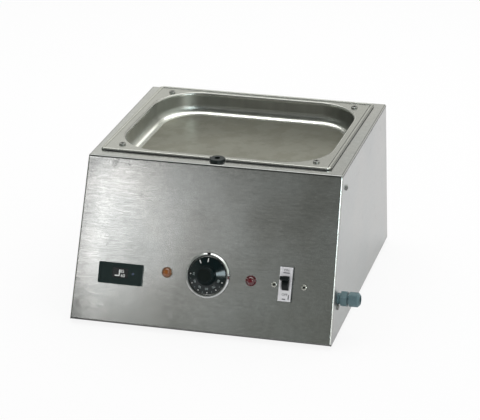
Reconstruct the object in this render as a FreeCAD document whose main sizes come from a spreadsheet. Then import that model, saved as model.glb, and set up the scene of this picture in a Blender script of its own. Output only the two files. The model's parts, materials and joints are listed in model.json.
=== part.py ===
import FreeCAD, Part
import math
import os
import re
from types import SimpleNamespace

import Sketcher

# Electric wax bath: a raked steel case with a shallow heated pan set into its top,
# and a thermostat dial, two lamps, a display and a circuit breaker on its front.
# Millimetres. X runs to the right, Y to the back, Z up; Z = 0 is the bench.

doc = FreeCAD.newDocument("wax_bath")
sheet = doc.addObject("Spreadsheet::Sheet", "Sizes")

SIZES = (
    # Case: a folded front and top, and a folded wrap of two sides and a back
    ("case_tall", 204.0), ("rake", 24.0), ("side_lean", 4.8), ("margin_left", 11.5),
    ("margin_right", 17.5), ("margin_front", 17.1), ("margin_back", 5.1), ("steel", 1.5), ("bend_out", 3.0), ("fold_out", 2.3), ("seam", 0.3),
    ("edge_set", 2.6), ("lip", 40.0), ("top_lip", 20.0), ("foot_lip", 15.0), ("lip_gap", 2.0),
    ("overrun", 5.0),
    # Base plate, its slots and its feet
    ("plate_gap", 1.2), ("plate_corner", 4.0), ("slot_long", 46.0), ("slot_wide", 4.0),
    ("slot_pitch", 12.0), ("slots", 20.0), ("slots_aside", 95.0),
    ("foot_tall", 5.0), ("foot_wide", 20.0), ("foot_taper", 1.2), ("foot_inset", 52.0),
    ("foot_recess", 3.2),
    # Small screws and nuts, one size throughout the case
    ("bolt", 4.0), ("bolt_play", 0.25), ("head_wide", 7.6), ("head_tall", 2.2), ("head_round", 0.8),
    ("drive_wide", 1.6), ("drive_deep", 1.0), ("drive_share", 0.6), ("nut_flat", 7.0), ("nut_tall", 3.2),
    ("thread_play", 0.05), ("bolt_tip", 1.0),
    ("side_bolt_set", 25.0), ("side_bolt_low", 38.5), ("side_bolt_drop", 22.0),
    ("rear_bolt_in", 55.0), ("rear_bolt_drop", 10.0),
    ("base_bolt_in", 59.5), ("base_bolt_front", 22.0), ("base_bolt_rear", 8.0),
    # Pan with a flange, screwed down over a gasket
    ("pan_wide", 321.0), ("pan_long", 262.0), ("pan_twist", 1.0), ("pan_sheet", 0.9), ("pan_corner", 7.0),
    ("flange_side", 14.5), ("flange_end", 12.5), ("well_deep", 30.0), ("well_draft", 2.0), ("well_corner", 62.0), ("well_floor_round", 14.0),
    ("rim_round", 1.6), ("bead_wide", 4.4), ("bead_tall", 1.3), ("bead_round", 1.2),
    ("gasket", 1.0), ("cutout_gap", 5.0),
    ("pan_bolt_in_x", 24.9), ("pan_bolt_in_y", 21.6), ("pan_head_wide", 9.2), ("pan_head_tall", 2.0),
    # Rubber grommet for a probe lead, in a notch of the pan's flange
    ("grommet_wide", 21.0), ("grommet_head", 3.6), ("grommet_neck", 14.0), ("grommet_bore", 8.0),
    ("grommet_barb", 17.0), ("grommet_barb_tall", 3.0), ("notch_gap", 0.6), ("grommet_round", 1.4),
    # Heater, insulation and tray, held under the pan by welded studs
    ("mat_in_x", 11.0), ("mat_in_y", 15.0), ("mat_thick", 2.5),
    ("pad_in", 20.5), ("pad_thick", 18.0), ("tray_sheet", 1.0),
    ("tray_wall", 14.0), ("tray_gap", 0.5), ("stud_in_x", 5.5), ("stud_in_y", 45.0),
    # Front panel: heights are measured up the panel from its lower edge
    ("row_up", 74.0), ("dial_x", 6.2), ("dial_up", 77.0),
    ("bezel_wide", 59.6), ("bezel_bore", 51.6), ("bezel_tall", 4.4), ("bezel_round", 1.7),
    ("bezel_foot", 54.0), ("bezel_floor", 0.8),
    ("knob_wide", 49.6), ("knob_lift", 1.4), ("knob_rim", 2.0), ("knob_shoulder_wide", 27.0),
    ("knob_shoulder", 8.2), ("boss_wide", 24.0), ("boss_top_wide", 21.6), ("boss_tall", 19.0),
    ("boss_round", 1.0), ("knob_hollow_wide", 46.0), ("knob_hollow", 2.6), ("hub_wide", 12.0),
    ("flute_wide", 1.8), ("flute_sink", 0.35), ("flutes", 24.0),
    ("cap_wide", 17.6), ("cap_thick", 0.8), ("cap_proud", 0.3),
    ("shaft_wide", 6.0), ("shaft_play", 0.05), ("shaft_in", 14.0), ("shaft_out", 15.0),
    ("bush_wide", 10.0), ("bush_out", 0.6), ("bush_play", 0.3), ("bush_floor", 1.5),
    ("stat_wide", 38.0), ("stat_long", 34.0), ("stat_deep", 28.0), ("stat_plate_wide", 44.0),
    ("stat_plate_long", 26.0), ("stat_plate", 2.0), ("stat_bolt", 14.0), ("stat_head_tall", 1.6),
    ("tab_wide", 6.3), ("tab_thick", 0.8), ("tab_tall", 9.0), ("tab_pitch", 14.0),
    # Thermostat's capillary and bulb
    ("bulb_wide", 6.0), ("bulb_long", 88.0), ("bulb_gap", 1.0), ("pipe_wide", 2.0),
    ("pipe_drop", 20.0), ("clip_wide", 10.0), ("clip_sheet", 0.8), ("clip_foot", 8.0),
    # Pilot lamps
    ("amber_x", -50.0), ("red_x", 65.2), ("lamp_up", 75.8), ("lamp_ring_wide", 14.4),
    ("lamp_ring_tall", 1.8), ("lamp_ring_round", 0.7), ("lamp_thread", 10.0), ("lens_wide", 12.6),
    ("lens_tall", 5.0), ("lens_round", 3.8), ("lamp_long", 30.0), ("lamp_nut_flat", 14.0),
    ("lamp_nut_tall", 3.0), ("lamp_play", 0.2), ("lamp_pin", 1.0), ("lamp_pin_tall", 7.0),
    # Digital display
    ("display_x", -114.0), ("display_up", 67.8), ("display_wide", 61.4), ("display_long", 28.6),
    ("display_tall", 2.4), ("display_corner", 2.0), ("display_frame", 3.2), ("display_sink", 0.7),
    ("window_x", -0.4), ("window_y", 1.2), ("window_wide", 22.0), ("window_long", 13.6),
    ("window_thick", 1.2), ("module_wide", 56.6), ("module_long", 22.4), ("module_deep", 36.0),
    ("module_play", 0.25), ("led_x", 17.4), ("led_y", 1.0), ("led_wide", 3.6), ("led_tall", 1.2),
    ("spring_long", 22.0), ("spring_sheet", 0.6), ("spring_wide", 10.0), ("spring_flare", 4.0),
    # Circuit breaker behind the panel, with its toggle
    ("breaker_x", 117.1), ("nose_shift", -4.4), ("nose_up", 75.8), ("nose_wide", 17.6),
    ("nose_long", 45.0), ("nose_out", 4.0), ("nose_in", 19.0), ("nose_play", 0.5), ("nose_round", 0.8),
    ("shoulder_long", 80.0), ("shoulder_deep", 42.0), ("rail_wide", 2.4), ("rail_sink", 0.8),
    ("rail_margin", 2.0), ("drum_wide", 20.0), ("drum_in", 5.0), ("drum_thick", 8.8), ("drum_play", 0.35),
    ("slot_half", 9.2), ("drum_up", 1.4), ("pin_wide", 3.0), ("pin_long", 2.4), ("pin_play", 0.05),
    ("neck_thick", 4.2), ("grip_wide", 12.8), ("grip_thick", 5.0), ("grip_low", 11.4),
    ("grip_high", 16.0), ("grip_round", 0.9), ("throw", 54.0),
    ("bracket_bolt", 20.1), ("bracket_ear", 11.0), ("bracket_sheet", 1.5), ("bracket_long", 26.0),
    ("bracket_play", 0.6), ("front_head_wide", 7.0), ("front_head_tall", 2.0),
    # Cable gland through the right side
    ("gland_set", 49.0), ("gland_up", 48.0), ("gland_neck", 4.6),
    ("gland_hex", 19.0), ("gland_hex_long", 8.2), ("gland_waist_wide", 14.0), ("gland_waist", 2.8),
    ("gland_dome_wide", 19.6), ("gland_dome_tip", 13.4), ("gland_dome", 14.0), ("gland_dome_round", 3.0),
    ("gland_thread", 15.0), ("gland_tail", 11.0), ("gland_bore", 11.0), ("gland_play", 0.25),
    ("seal_bore", 8.0), ("gland_nut_flat", 18.0), ("gland_nut_tall", 4.0), ("gland_wall", 1.5),
    # Terminal block and earth stud on the base plate
    ("block_x", 70.0), ("block_y", 40.0), ("block_pitch", 11.0), ("block_long", 24.0),
    ("block_tall", 15.0), ("block_rib", 3.0), ("block_step", 5.0), ("port_wide", 5.0), ("port_deep", 9.0),
    ("clamp_wide", 4.4), ("clamp_tall", 4.0),
    ("earth_x", 130.0), ("earth_y", 60.0), ("earth_wide", 5.0), ("earth_long", 18.0),
    ("earth_nut_flat", 8.0), ("earth_nut_tall", 4.0),
)

for row, (alias, number) in enumerate(SIZES, start=1):
    sheet.set("A%d" % row, alias)
    sheet.set("B%d" % row, str(number))
    sheet.setAlias("B%d" % row, alias)
doc.recompute()

ALIASES = {alias for alias, number in SIZES}
d = SimpleNamespace(**{alias: float(sheet.get(alias)) for alias in ALIASES})

# Places worked out from the sizes, as expressions
LEAN_ANGLE = "atan(side_lean / case_tall)"
RUN = "(case_tall * tan(rake))"
TOP_WIDE = "(margin_left + pan_wide + margin_right)"
BASE_WIDE = "(%s + 2 * side_lean)" % TOP_WIDE
DEEP = "(%s + margin_front + pan_long + margin_back)" % RUN
FOLD_TRIM = "(fold_out / tan((90 - rake) / 2) - fold_out)"
FRONT = "(-(%s + head_tall + %s) / 2)" % (DEEP, FOLD_TRIM)
BACK = "(%s + %s)" % (FRONT, DEEP)
TOP = "(foot_tall + case_tall)"
DECK = "(foot_tall + 2 * steel)"
GLAND_OUT = "(gland_neck + gland_hex_long + gland_waist + gland_dome)"
LEFT_REACH = "(%s / 2 - side_lean * side_bolt_low / case_tall + head_tall)" % BASE_WIDE
RIGHT_REACH = "(%s / 2 - side_lean * gland_up / case_tall + %s)" % (BASE_WIDE, GLAND_OUT)
MID = "((%s - %s) / 2)" % (LEFT_REACH, RIGHT_REACH)
PAN_X = "(%s + (margin_left - margin_right) / 2)" % MID
PAN_FRONT = "(%s + %s + margin_front)" % (FRONT, RUN)
PAN_Y = "(%s + pan_long / 2)" % PAN_FRONT
PAN_BOLT_X = "(pan_wide / 2 - pan_bolt_in_x)"
PAN_BOLT_Y = "(pan_long / 2 - pan_bolt_in_y)"
WELL_WIDE = "(pan_wide - 2 * flange_side)"
WELL_LONG = "(pan_long - 2 * flange_end)"
PAN_TOP = "(%s + gasket + pan_sheet)" % TOP
PAN_UNDER = "(%s + gasket - well_deep)" % TOP
TRAY_UNDER = "(%s - mat_thick - pad_thick - tray_sheet)" % PAN_UNDER
PAD_WIDE = "(%s - 2 * pad_in)" % WELL_WIDE
PAD_LONG = "(%s - 2 * pad_in)" % WELL_LONG
MAT_WIDE = "(%s - 2 * mat_in_x)" % PAD_WIDE
MAT_LONG = "(%s - 2 * mat_in_y)" % PAD_LONG
STUD_X = "(%s / 2 - stud_in_x)" % PAD_WIDE
STUD_Y = "(%s / 2 - stud_in_y)" % PAD_LONG
BULB_Y = "(%s / 2 + bulb_gap + clip_foot + bulb_wide / 2)" % MAT_LONG

X_AXIS = FreeCAD.Vector(1, 0, 0)
Y_AXIS = FreeCAD.Vector(0, 1, 0)
Z_AXIS = FreeCAD.Vector(0, 0, 1)
FULL_TURN = 360.0
RIGHT_ANGLE = 90.0


def expression(text):
    """Put the sheet's name before every size that the text uses."""
    return re.sub(r"[a-z][a-z_]*", lambda m: "Sizes." + m.group() if m.group() in ALIASES else m.group(), text)


def number(text):
    """What an expression comes to."""
    return float(sheet.evalExpression(expression(text)))


def bind(thing, **sizes):
    """Bind properties of a document object to expressions."""
    for name, text in sizes.items():
        thing.setExpression(name, expression(text))
    return thing


def place(thing, x="0", y="0", z="0", axis=Z_AXIS, angle="0"):
    """Bind a document object's place and its turn about one axis."""
    thing.Placement = FreeCAD.Placement(FreeCAD.Vector(), FreeCAD.Rotation(axis, 1))
    thing.setExpression("Placement.Rotation.Angle", expression(angle))
    thing.setExpression("Placement.Base.x", expression(x))
    thing.setExpression("Placement.Base.y", expression(y))
    thing.setExpression("Placement.Base.z", expression(z))
    return thing


def on_panel(thing, across, up, out="0", tilt="0"):
    """Place on the raked panel: local X across, local Y up the slope, local Z outwards."""
    y = "%s + (%s) * sin(rake) - (%s) * cos(rake)" % (FRONT, up, out)
    z = "foot_tall + (%s) * cos(rake) + (%s) * sin(rake)" % (up, out)
    return place(thing, "%s + %s" % (MID, across), y, z, X_AXIS, "90 - rake - (%s)" % tilt)


def on_pan(thing):
    """Place with the pan, which sits a little askew: local X and Y start at the pan's middle."""
    return place(thing, PAN_X, PAN_Y, "0", Z_AXIS, "-pan_twist")


def pan_point(x, y, z):
    """A place given from the pan's middle, as a point."""
    turn = FreeCAD.Rotation(Z_AXIS, -d.pan_twist)
    across = turn.multVec(FreeCAD.Vector(number(x), number(y), 0))
    return FreeCAD.Vector(number(PAN_X), number(PAN_Y), number(z)) + across


def on_side(thing, set_back, up, out="0", hand=1):
    """Place on a leaning side wall: local Z points outwards; set_back is from the raked edge's foot."""
    reach = "%s / 2 - side_lean * (%s) / case_tall + (%s) * cos(%s)" % (BASE_WIDE, up, out, LEAN_ANGLE)
    x = "%s + %d * (%s)" % (MID, hand, reach)
    z = "foot_tall + (%s) + (%s) * sin(%s)" % (up, out, LEAN_ANGLE)
    return place(thing, x, "%s + (%s)" % (FRONT, set_back), z, Y_AXIS, "%d * (90 deg - %s)" % (hand, LEAN_ANGLE))


def block(name, wide, long, tall, x="0", y="0", z="0"):
    """A box centred on X and Y, standing on its Z."""
    box = doc.addObject("Part::Box", name)
    bind(box, Length=wide, Width=long, Height=tall)
    return place(box, "%s - (%s) / 2" % (x, wide), "%s - (%s) / 2" % (y, long), z)


def rod(name, wide, tall, x="0", y="0", z="0"):
    """An upright cylinder given by its diameter."""
    cylinder = doc.addObject("Part::Cylinder", name)
    bind(cylinder, Radius="(%s) / 2" % wide, Height=tall)
    return place(cylinder, x, y, z)


def rod_along_x(name, wide, long, x="0", y="0", z="0"):
    """A cylinder that lies along X, centred on its place."""
    cylinder = doc.addObject("Part::Cylinder", name)
    bind(cylinder, Radius="(%s) / 2" % wide, Height=long)
    return place(cylinder, "%s - (%s) / 2" % (x, long), y, z, Y_AXIS, "90")


def hexagon(name, flats, tall, x="0", y="0", z="0"):
    """An upright hexagonal prism given by its width across flats."""
    prism = doc.addObject("Part::Prism", name)
    prism.Polygon = 6
    bind(prism, Circumradius="(%s) / 2 / cos(30)" % flats, Height=tall)
    return place(prism, x, y, z)


def fuse(name, pieces):
    """One solid from pieces that meet."""
    joined = doc.addObject("Part::MultiFuse", name)
    joined.Shapes = pieces
    joined.Refine = True
    return joined


def cut(name, base, tools):
    """A piece with tools taken away from it."""
    tool = tools[0] if len(tools) == 1 else fuse(name + "_tools", tools)
    result = doc.addObject("Part::Cut", name)
    result.Base = base
    result.Tool = tool
    return result


def common(name, first, second):
    """What two solids share."""
    shared = doc.addObject("Part::MultiCommon", name)
    shared.Shapes = [first, second]
    return shared


def group(name, pieces):
    """Like pieces, each its own solid, under one name."""
    together = doc.addObject("Part::Compound", name)
    together.Links = pieces
    return together


def rounded(name, base, radius, chosen):
    """Round the edges for which chosen(middle, direction) is true."""
    doc.recompute()
    result = doc.addObject("Part::Fillet", name)
    result.Base = base
    picks = []
    for number, edge in enumerate(base.Shape.Edges, start=1):
        middle = edge.valueAt((edge.FirstParameter + edge.LastParameter) / 2)
        direction = edge.tangentAt((edge.FirstParameter + edge.LastParameter) / 2)
        size = radius(middle, direction) if callable(radius) else radius
        if size > 0 and chosen(middle, direction):
            picks.append((number, size, size))
    result.Edges = picks
    return result


def plane_of(body, role):
    """One of a body's own origin planes."""
    return next(f for f in body.Origin.OriginFeatures if f.Role == role)


def sketch_on(body, role, name, lift=None):
    """A sketch on a body's origin plane, lifted along the plane's normal."""
    sketch = body.newObject("Sketcher::SketchObject", name)
    sketch.AttachmentSupport = [(plane_of(body, role), "")]
    sketch.MapMode = "FlatFace"
    if lift:
        sketch.setExpression("AttachmentOffset.Base.z", expression(lift))
    return sketch


def draw_outline(sketch, corners):
    """A closed outline of straight runs whose corners are bound to expressions."""
    count = len(corners)
    first = sketch.GeometryCount
    ring = []
    for k in range(count):
        turn = 2 * math.pi * k / count
        ring.append(FreeCAD.Vector(math.cos(turn), math.sin(turn), 0))
    for k in range(count):
        sketch.addGeometry(Part.LineSegment(ring[k], ring[(k + 1) % count]))
    for k in range(count):
        follower = first + (k + 1) % count
        sketch.addConstraint(Sketcher.Constraint("Coincident", first + k, 2, follower, 1))
    for k, (across, up) in enumerate(corners):
        for kind, text, start in (("DistanceX", across, ring[k].x), ("DistanceY", up, ring[k].y)):
            number = sketch.addConstraint(Sketcher.Constraint(kind, first + k, 1, start))
            sketch.setExpression("Constraints[%d]" % number, expression(text))


def draw_circle(sketch, across, up, wide):
    """A circle whose centre and diameter are bound to expressions."""
    number = sketch.addGeometry(Part.Circle(FreeCAD.Vector(1, 1, 0), Z_AXIS, 1))
    for kind, text in (("DistanceX", across), ("DistanceY", up)):
        bound = sketch.addConstraint(Sketcher.Constraint(kind, number, 3, 1))
        sketch.setExpression("Constraints[%d]" % bound, expression(text))
    bound = sketch.addConstraint(Sketcher.Constraint("Radius", number, 1))
    sketch.setExpression("Constraints[%d]" % bound, expression("(%s) / 2" % wide))


def body_named(name):
    """An empty body."""
    return doc.addObject("PartDesign::Body", name)


def add_pad(body, sketch, length, symmetric=False):
    """Pad a sketch, from its plane or to both sides of it."""
    pad = body.newObject("PartDesign::Pad", sketch.Name + "_pad")
    pad.Profile = sketch
    if symmetric:
        pad.SideType = "Symmetric"
    return bind(pad, Length=length)


def add_pocket(body, sketch, name=None):
    """Pocket a sketch right through, both ways."""
    pocket = body.newObject("PartDesign::Pocket", name or sketch.Name + "_pocket")
    pocket.Profile = sketch
    pocket.SideType = "Two sides"
    pocket.Type = "ThroughAll"
    pocket.Type2 = "ThroughAll"
    return pocket


def turned(name, corners):
    """A body turned about Z from half an outline given as (radius, height)."""
    body = body_named(name)
    sketch = sketch_on(body, "XZ_Plane", name + "_outline")
    draw_outline(sketch, corners)
    turn = body.newObject("PartDesign::Revolution", name + "_turn")
    turn.Profile = sketch
    turn.ReferenceAxis = (sketch, ["V_Axis"])
    turn.Angle = FULL_TURN
    body.Tip = turn
    return body


def round_body(body, radius, chosen):
    """Round chosen edges of a body's tip with a radius bound to an expression."""
    doc.recompute()
    tip = body.Tip
    names = []
    for number, edge in enumerate(tip.Shape.Edges, start=1):
        middle = edge.valueAt((edge.FirstParameter + edge.LastParameter) / 2)
        direction = edge.tangentAt((edge.FirstParameter + edge.LastParameter) / 2)
        if chosen(middle, direction):
            names.append("Edge%d" % number)
    fillet = body.newObject("PartDesign::Fillet", "%s_round_%s" % (body.Name, names[0].lower()))
    fillet.Base = (tip, names)
    bind(fillet, Radius=radius)
    body.Tip = fillet
    return fillet


def upright(middle, direction):
    """An edge that runs along Z, or nearly."""
    return abs(direction.z) > abs(direction.x) + abs(direction.y)


def near(value, target):
    """Two lengths that are the same size."""
    return abs(value - target) < d.seam


def screw(name, head_wide, head_tall, shank, x="0", y="0", z="0"):
    """A round-headed screw with a cross recess: the head stands on z, the shank hangs below it."""
    head = rod(name + "_disc", head_wide, head_tall, x, y, z)
    body = rod(name + "_shank", "bolt - 2 * bolt_play", "(%s) + head_tall / 2" % shank,
               x, y, "%s - (%s)" % (z, shank))
    domed = rounded(name + "_dome", head, d.head_round, lambda m, t: near(m.z, head_top(head)))
    whole = fuse(name + "_whole", [domed, body])
    drive = [block(name + "_drive_" + way, wide, long, "2 * drive_deep", x, y, "%s + (%s) - drive_deep" % (z, head_tall))
             for way, wide, long in (("across", "drive_share * (%s)" % head_wide, "drive_wide"),
                                     ("along", "drive_wide", "drive_share * (%s)" % head_wide))]
    return cut(name, whole, drive)


def head_top(head):
    """Height of the top face of a cylinder that has been worked out."""
    return head.Shape.BoundBox.ZMax


def nut(name, flats, tall, bore, x="0", y="0", z="0"):
    """A hexagonal nut standing on z."""
    prism = hexagon(name + "_hex", flats, tall, x, y, z)
    hole = rod(name + "_bore", bore, "(%s) + 2 * overrun" % tall, x, y, "%s - overrun" % z)
    return cut(name, prism, [hole])


BOLT_HOLE = "bolt"
NUT_BORE = "bolt - 2 * bolt_play + 2 * thread_play"
CORNERS = ((-1, -1), (1, -1), (-1, 1), (1, 1))
SIDES = (-1, 1)


def case_wedge(name, side="0", front="0", top="0", bottom="0", back="0"):
    """The raked and leaning form of the case, taken in by a distance at each wall."""
    low, high = "(%s)" % bottom, "(case_tall - (%s))" % top
    wedge = doc.addObject("Part::Wedge", name)

    def half(height):
        return "%s / 2 - side_lean * %s / case_tall - (%s)" % (BASE_WIDE, height, side)

    def face(height):
        return "-%s - %s * tan(rake) - (%s) / cos(rake)" % (FRONT, height, front)

    bind(wedge, Ymin=low, Ymax=high, Xmin="-(%s)" % half(low), Xmax=half(low),
         X2min="-(%s)" % half(high), X2max=half(high), Zmin="-%s + (%s)" % (BACK, back),
         Z2min="-%s + (%s)" % (BACK, back), Zmax=face(low), Z2max=face(high))
    return place(wedge, MID, "0", "foot_tall", X_AXIS, "90")


def raked(direction):
    """An edge that climbs with the front panel."""
    return direction.z * direction.y != 0 and abs(direction.y) > abs(direction.x) * 2 and abs(direction.z) > 0.5


def back_corner(middle, direction):
    """An upright edge at the back."""
    return middle.y > 0 and abs(direction.z) > 0.9


def fold_radius(thinner, behind):
    """Radius of each fold of the front and top, less the sheet on its inner side; behind for the back corners."""
    def radius(middle, direction):
        along_x = abs(direction.x) > 0.9
        forward = middle.y < 0
        if along_x and forward and middle.z > d.foot_tall + d.case_tall / 2:
            return d.bend_out - thinner
        if along_x and forward:
            return d.fold_out - thinner
        if raked(direction) or abs(direction.y) > 0.9:
            return d.fold_out - thinner
        if back_corner(middle, direction):
            return behind
        return 0
    return radius


def front_holes():
    """Tools for every opening in the raked panel."""
    depth = "4 * overrun"
    tools = []

    def panel_rod(name, wide, across, up):
        tools.append(on_panel(rod(name, wide, depth), across, up, "-2 * overrun"))

    def panel_block(name, wide, long, across, up):
        box = block(name + "_box", wide, long, depth)
        tools.append(on_panel(fuse_one(name, box), across, up, "-2 * overrun"))

    panel_block("display_hole", "module_wide + 2 * module_play", "module_long + 2 * module_play",
                "display_x", "display_up")
    panel_block("breaker_hole", "nose_wide + 2 * nose_play", "nose_long + 2 * nose_play",
                "breaker_x + nose_shift", "nose_up")
    panel_rod("dial_hole", "bush_wide + 2 * bush_play", "dial_x", "dial_up")
    panel_rod("amber_hole", "lamp_thread + 2 * lamp_play", "amber_x", "lamp_up")
    panel_rod("red_hole", "lamp_thread + 2 * lamp_play", "red_x", "lamp_up")
    for hand in SIDES:
        panel_rod("stat_bolt_hole_%d" % (hand + 2), BOLT_HOLE, "dial_x + %d * stat_bolt" % hand, "dial_up")
        panel_rod("breaker_bolt_hole_%d" % (hand + 2), BOLT_HOLE,
                  "breaker_x + %d * bracket_bolt" % hand, "row_up")
    return tools


def fuse_one(name, piece):
    """A piece wrapped so that it can be placed again as a whole."""
    return group(name, [piece])


def rounded_prism(name, wide, long, tall, corner, x, y, z):
    """An upright block with round corners."""
    return rounded(name, block(name + "_block", wide, long, tall, x, y, z), corner, upright)


def side_bolt_places():
    """Where the wrap is screwed to the front shell's lips: set-back, height, hand."""
    for hand in SIDES:
        for height in ("side_bolt_low", "(case_tall - side_bolt_drop)"):
            yield "side_bolt_set + %s * tan(rake)" % height, height, hand


def side_bolt_holes(name):
    """Tools for the side screws' holes."""
    tools = []
    for number, (set_back, height, hand) in enumerate(side_bolt_places()):
        hole = rod("%s_side_%d" % (name, number), BOLT_HOLE, "4 * overrun")
        tools.append(on_side(hole, set_back, height, "-2 * overrun", hand))
    return tools


def gland_hole(name):
    """Tool for the cable gland's hole."""
    return on_side(rod(name, "gland_thread + 2 * gland_play", "4 * overrun"), "gland_set", "gland_up",
                   "-2 * overrun")


def rear_bolt_holes(name):
    """Tools for the rear screws' holes."""
    tools = []
    for hand in SIDES:
        hole = rod("%s_rear_%d" % (name, hand + 2), BOLT_HOLE, "4 * overrun")
        place(hole, "%s + %d * (%s / 2 - rear_bolt_in)" % (MID, hand, TOP_WIDE), "%s - 2 * overrun" % BACK,
              "%s - rear_bolt_drop" % TOP, X_AXIS, "-90")
        tools.append(hole)
    return tools


def base_bolt_spots():
    """Where the base plate is screwed to the lips below it."""
    for hand in SIDES:
        x = "%s + %d * (%s / 2 - base_bolt_in)" % (MID, hand, BASE_WIDE)
        yield x, "%s + base_bolt_front" % FRONT
        yield x, "%s - base_bolt_rear" % BACK


def base_bolt_holes(name):
    """Tools for the base plate screws' holes."""
    return [rod("%s_base_%d" % (name, k), BOLT_HOLE, "4 * overrun", x, y, "foot_tall - 2 * overrun")
            for k, (x, y) in enumerate(base_bolt_spots())]


def pan_bolt_holes(name):
    """Tools for the pan screws' holes, from the pan's middle."""
    return [rod("%s_pan_%d" % (name, k), BOLT_HOLE, "4 * overrun", "%d * %s" % (a, PAN_BOLT_X),
                "%d * %s" % (b, PAN_BOLT_Y), "%s - 2 * overrun" % TOP) for k, (a, b) in enumerate(CORNERS)]


def make_front_top_shell():
    """Front, top and their lips, folded from one sheet."""
    outer = case_wedge("shell_outer", side="steel + seam", back="steel + seam")
    inner = case_wedge("shell_inner", side="2 * steel + seam", front="steel", top="steel",
                       bottom="steel", back="2 * steel + seam")
    inner_bent = rounded("shell_inner_bent", inner, fold_radius(d.steel, 0), lambda m, t: True)
    outer_bent = rounded("shell_outer_bent", outer, d.bend_out - d.steel - d.seam, back_corner)
    skin = case_wedge("shell_skin")
    skin_bent = rounded("shell_skin_bent", skin, fold_radius(0, d.bend_out), lambda m, t: True)
    behind_skin = case_wedge("shell_behind_skin", side="-2 * overrun", front="(edge_set - seam) * cos(rake)",
                             top="edge_set - seam", bottom="-2 * overrun", back="-2 * overrun")
    cap = cut("shell_cap", skin_bent, [behind_skin])
    walls = common("shell_walls", outer_bent, skin_bent)
    hollow = cut("shell_hollow", fuse("shell_solid", [walls, cap]), [inner_bent])

    window = body_named("shell_window")
    sketch = sketch_on(window, "YZ_Plane", "shell_window_outline")
    low, high = "(-overrun)", "(case_tall - top_lip)"
    draw_outline(sketch, (
        ("%s + %s * tan(rake) + lip" % (FRONT, low), "foot_tall + %s" % low),
        ("%s + %s * tan(rake) + lip" % (FRONT, high), "foot_tall + %s" % high),
        ("%s + overrun" % BACK, "foot_tall + %s" % high),
        ("%s + overrun" % BACK, "foot_tall + %s" % low)))
    add_pad(window, sketch, "2 * %s" % BASE_WIDE, symmetric=True)

    well = rounded_prism("pan_cutout", "%s + 2 * cutout_gap" % WELL_WIDE, "%s + 2 * cutout_gap" % WELL_LONG,
                         "4 * overrun", d.well_corner + d.cutout_gap, "0", "0", "%s - 2 * overrun" % TOP)
    under_pan = on_pan(group("shell_pan_openings", [well] + pan_bolt_holes("shell")))
    tools = front_holes() + [window, under_pan]
    tools.append(rod("grommet_hole", "grommet_neck + 2 * seam", "4 * overrun", MID, PAN_FRONT,
                     "%s - 2 * overrun" % TOP))
    tools += side_bolt_holes("shell") + rear_bolt_holes("shell") + base_bolt_holes("shell")
    tools.append(gland_hole("shell_gland_hole"))
    return cut("front_top_shell", hollow, tools)


def make_side_rear_shell():
    """Left side, back and right side, folded from one sheet, with lips for the base plate."""
    outer = case_wedge("wrap_outer", front="edge_set * cos(rake)", top="edge_set")
    inner = case_wedge("wrap_inner", side="steel", front="-4 * overrun", top="-overrun",
                       bottom="-overrun", back="steel")
    outer_bent = rounded("wrap_outer_bent", outer, d.bend_out, back_corner)
    inner_bent = rounded("wrap_inner_bent", inner, d.bend_out - d.steel, back_corner)
    walls = cut("wrap_walls", outer_bent, [inner_bent])

    behind = "(%s + lip + lip_gap)" % FRONT
    strip = block("wrap_lip_strip", "2 * %s" % BASE_WIDE, "%s - %s" % (BACK, behind), "steel",
                  MID, "(%s + %s) / 2" % (BACK, behind), "foot_tall")
    window = block("wrap_lip_window", "%s - 2 * foot_lip" % BASE_WIDE, DEEP, "4 * overrun", MID,
                   "%s - foot_lip - %s / 2" % (BACK, DEEP), "foot_tall - 2 * overrun")
    strip_in = common("wrap_lip_frame", outer_bent, strip)
    lips = cut("wrap_lips", strip_in, [window])
    whole = fuse("wrap_whole", [walls, lips])
    tools = side_bolt_holes("wrap") + rear_bolt_holes("wrap") + base_bolt_holes("wrap")
    tools.append(gland_hole("wrap_gland_hole"))
    return cut("side_rear_shell", whole, tools)


def foot_spots():
    """The feet's places."""
    for a, b in CORNERS:
        yield ("%s + %d * (%s / 2 - foot_inset)" % (MID, a, BASE_WIDE),
               "(%s + %s) / 2 + %d * (%s / 2 - foot_inset)" % (FRONT, BACK, b, DEEP))


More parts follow.
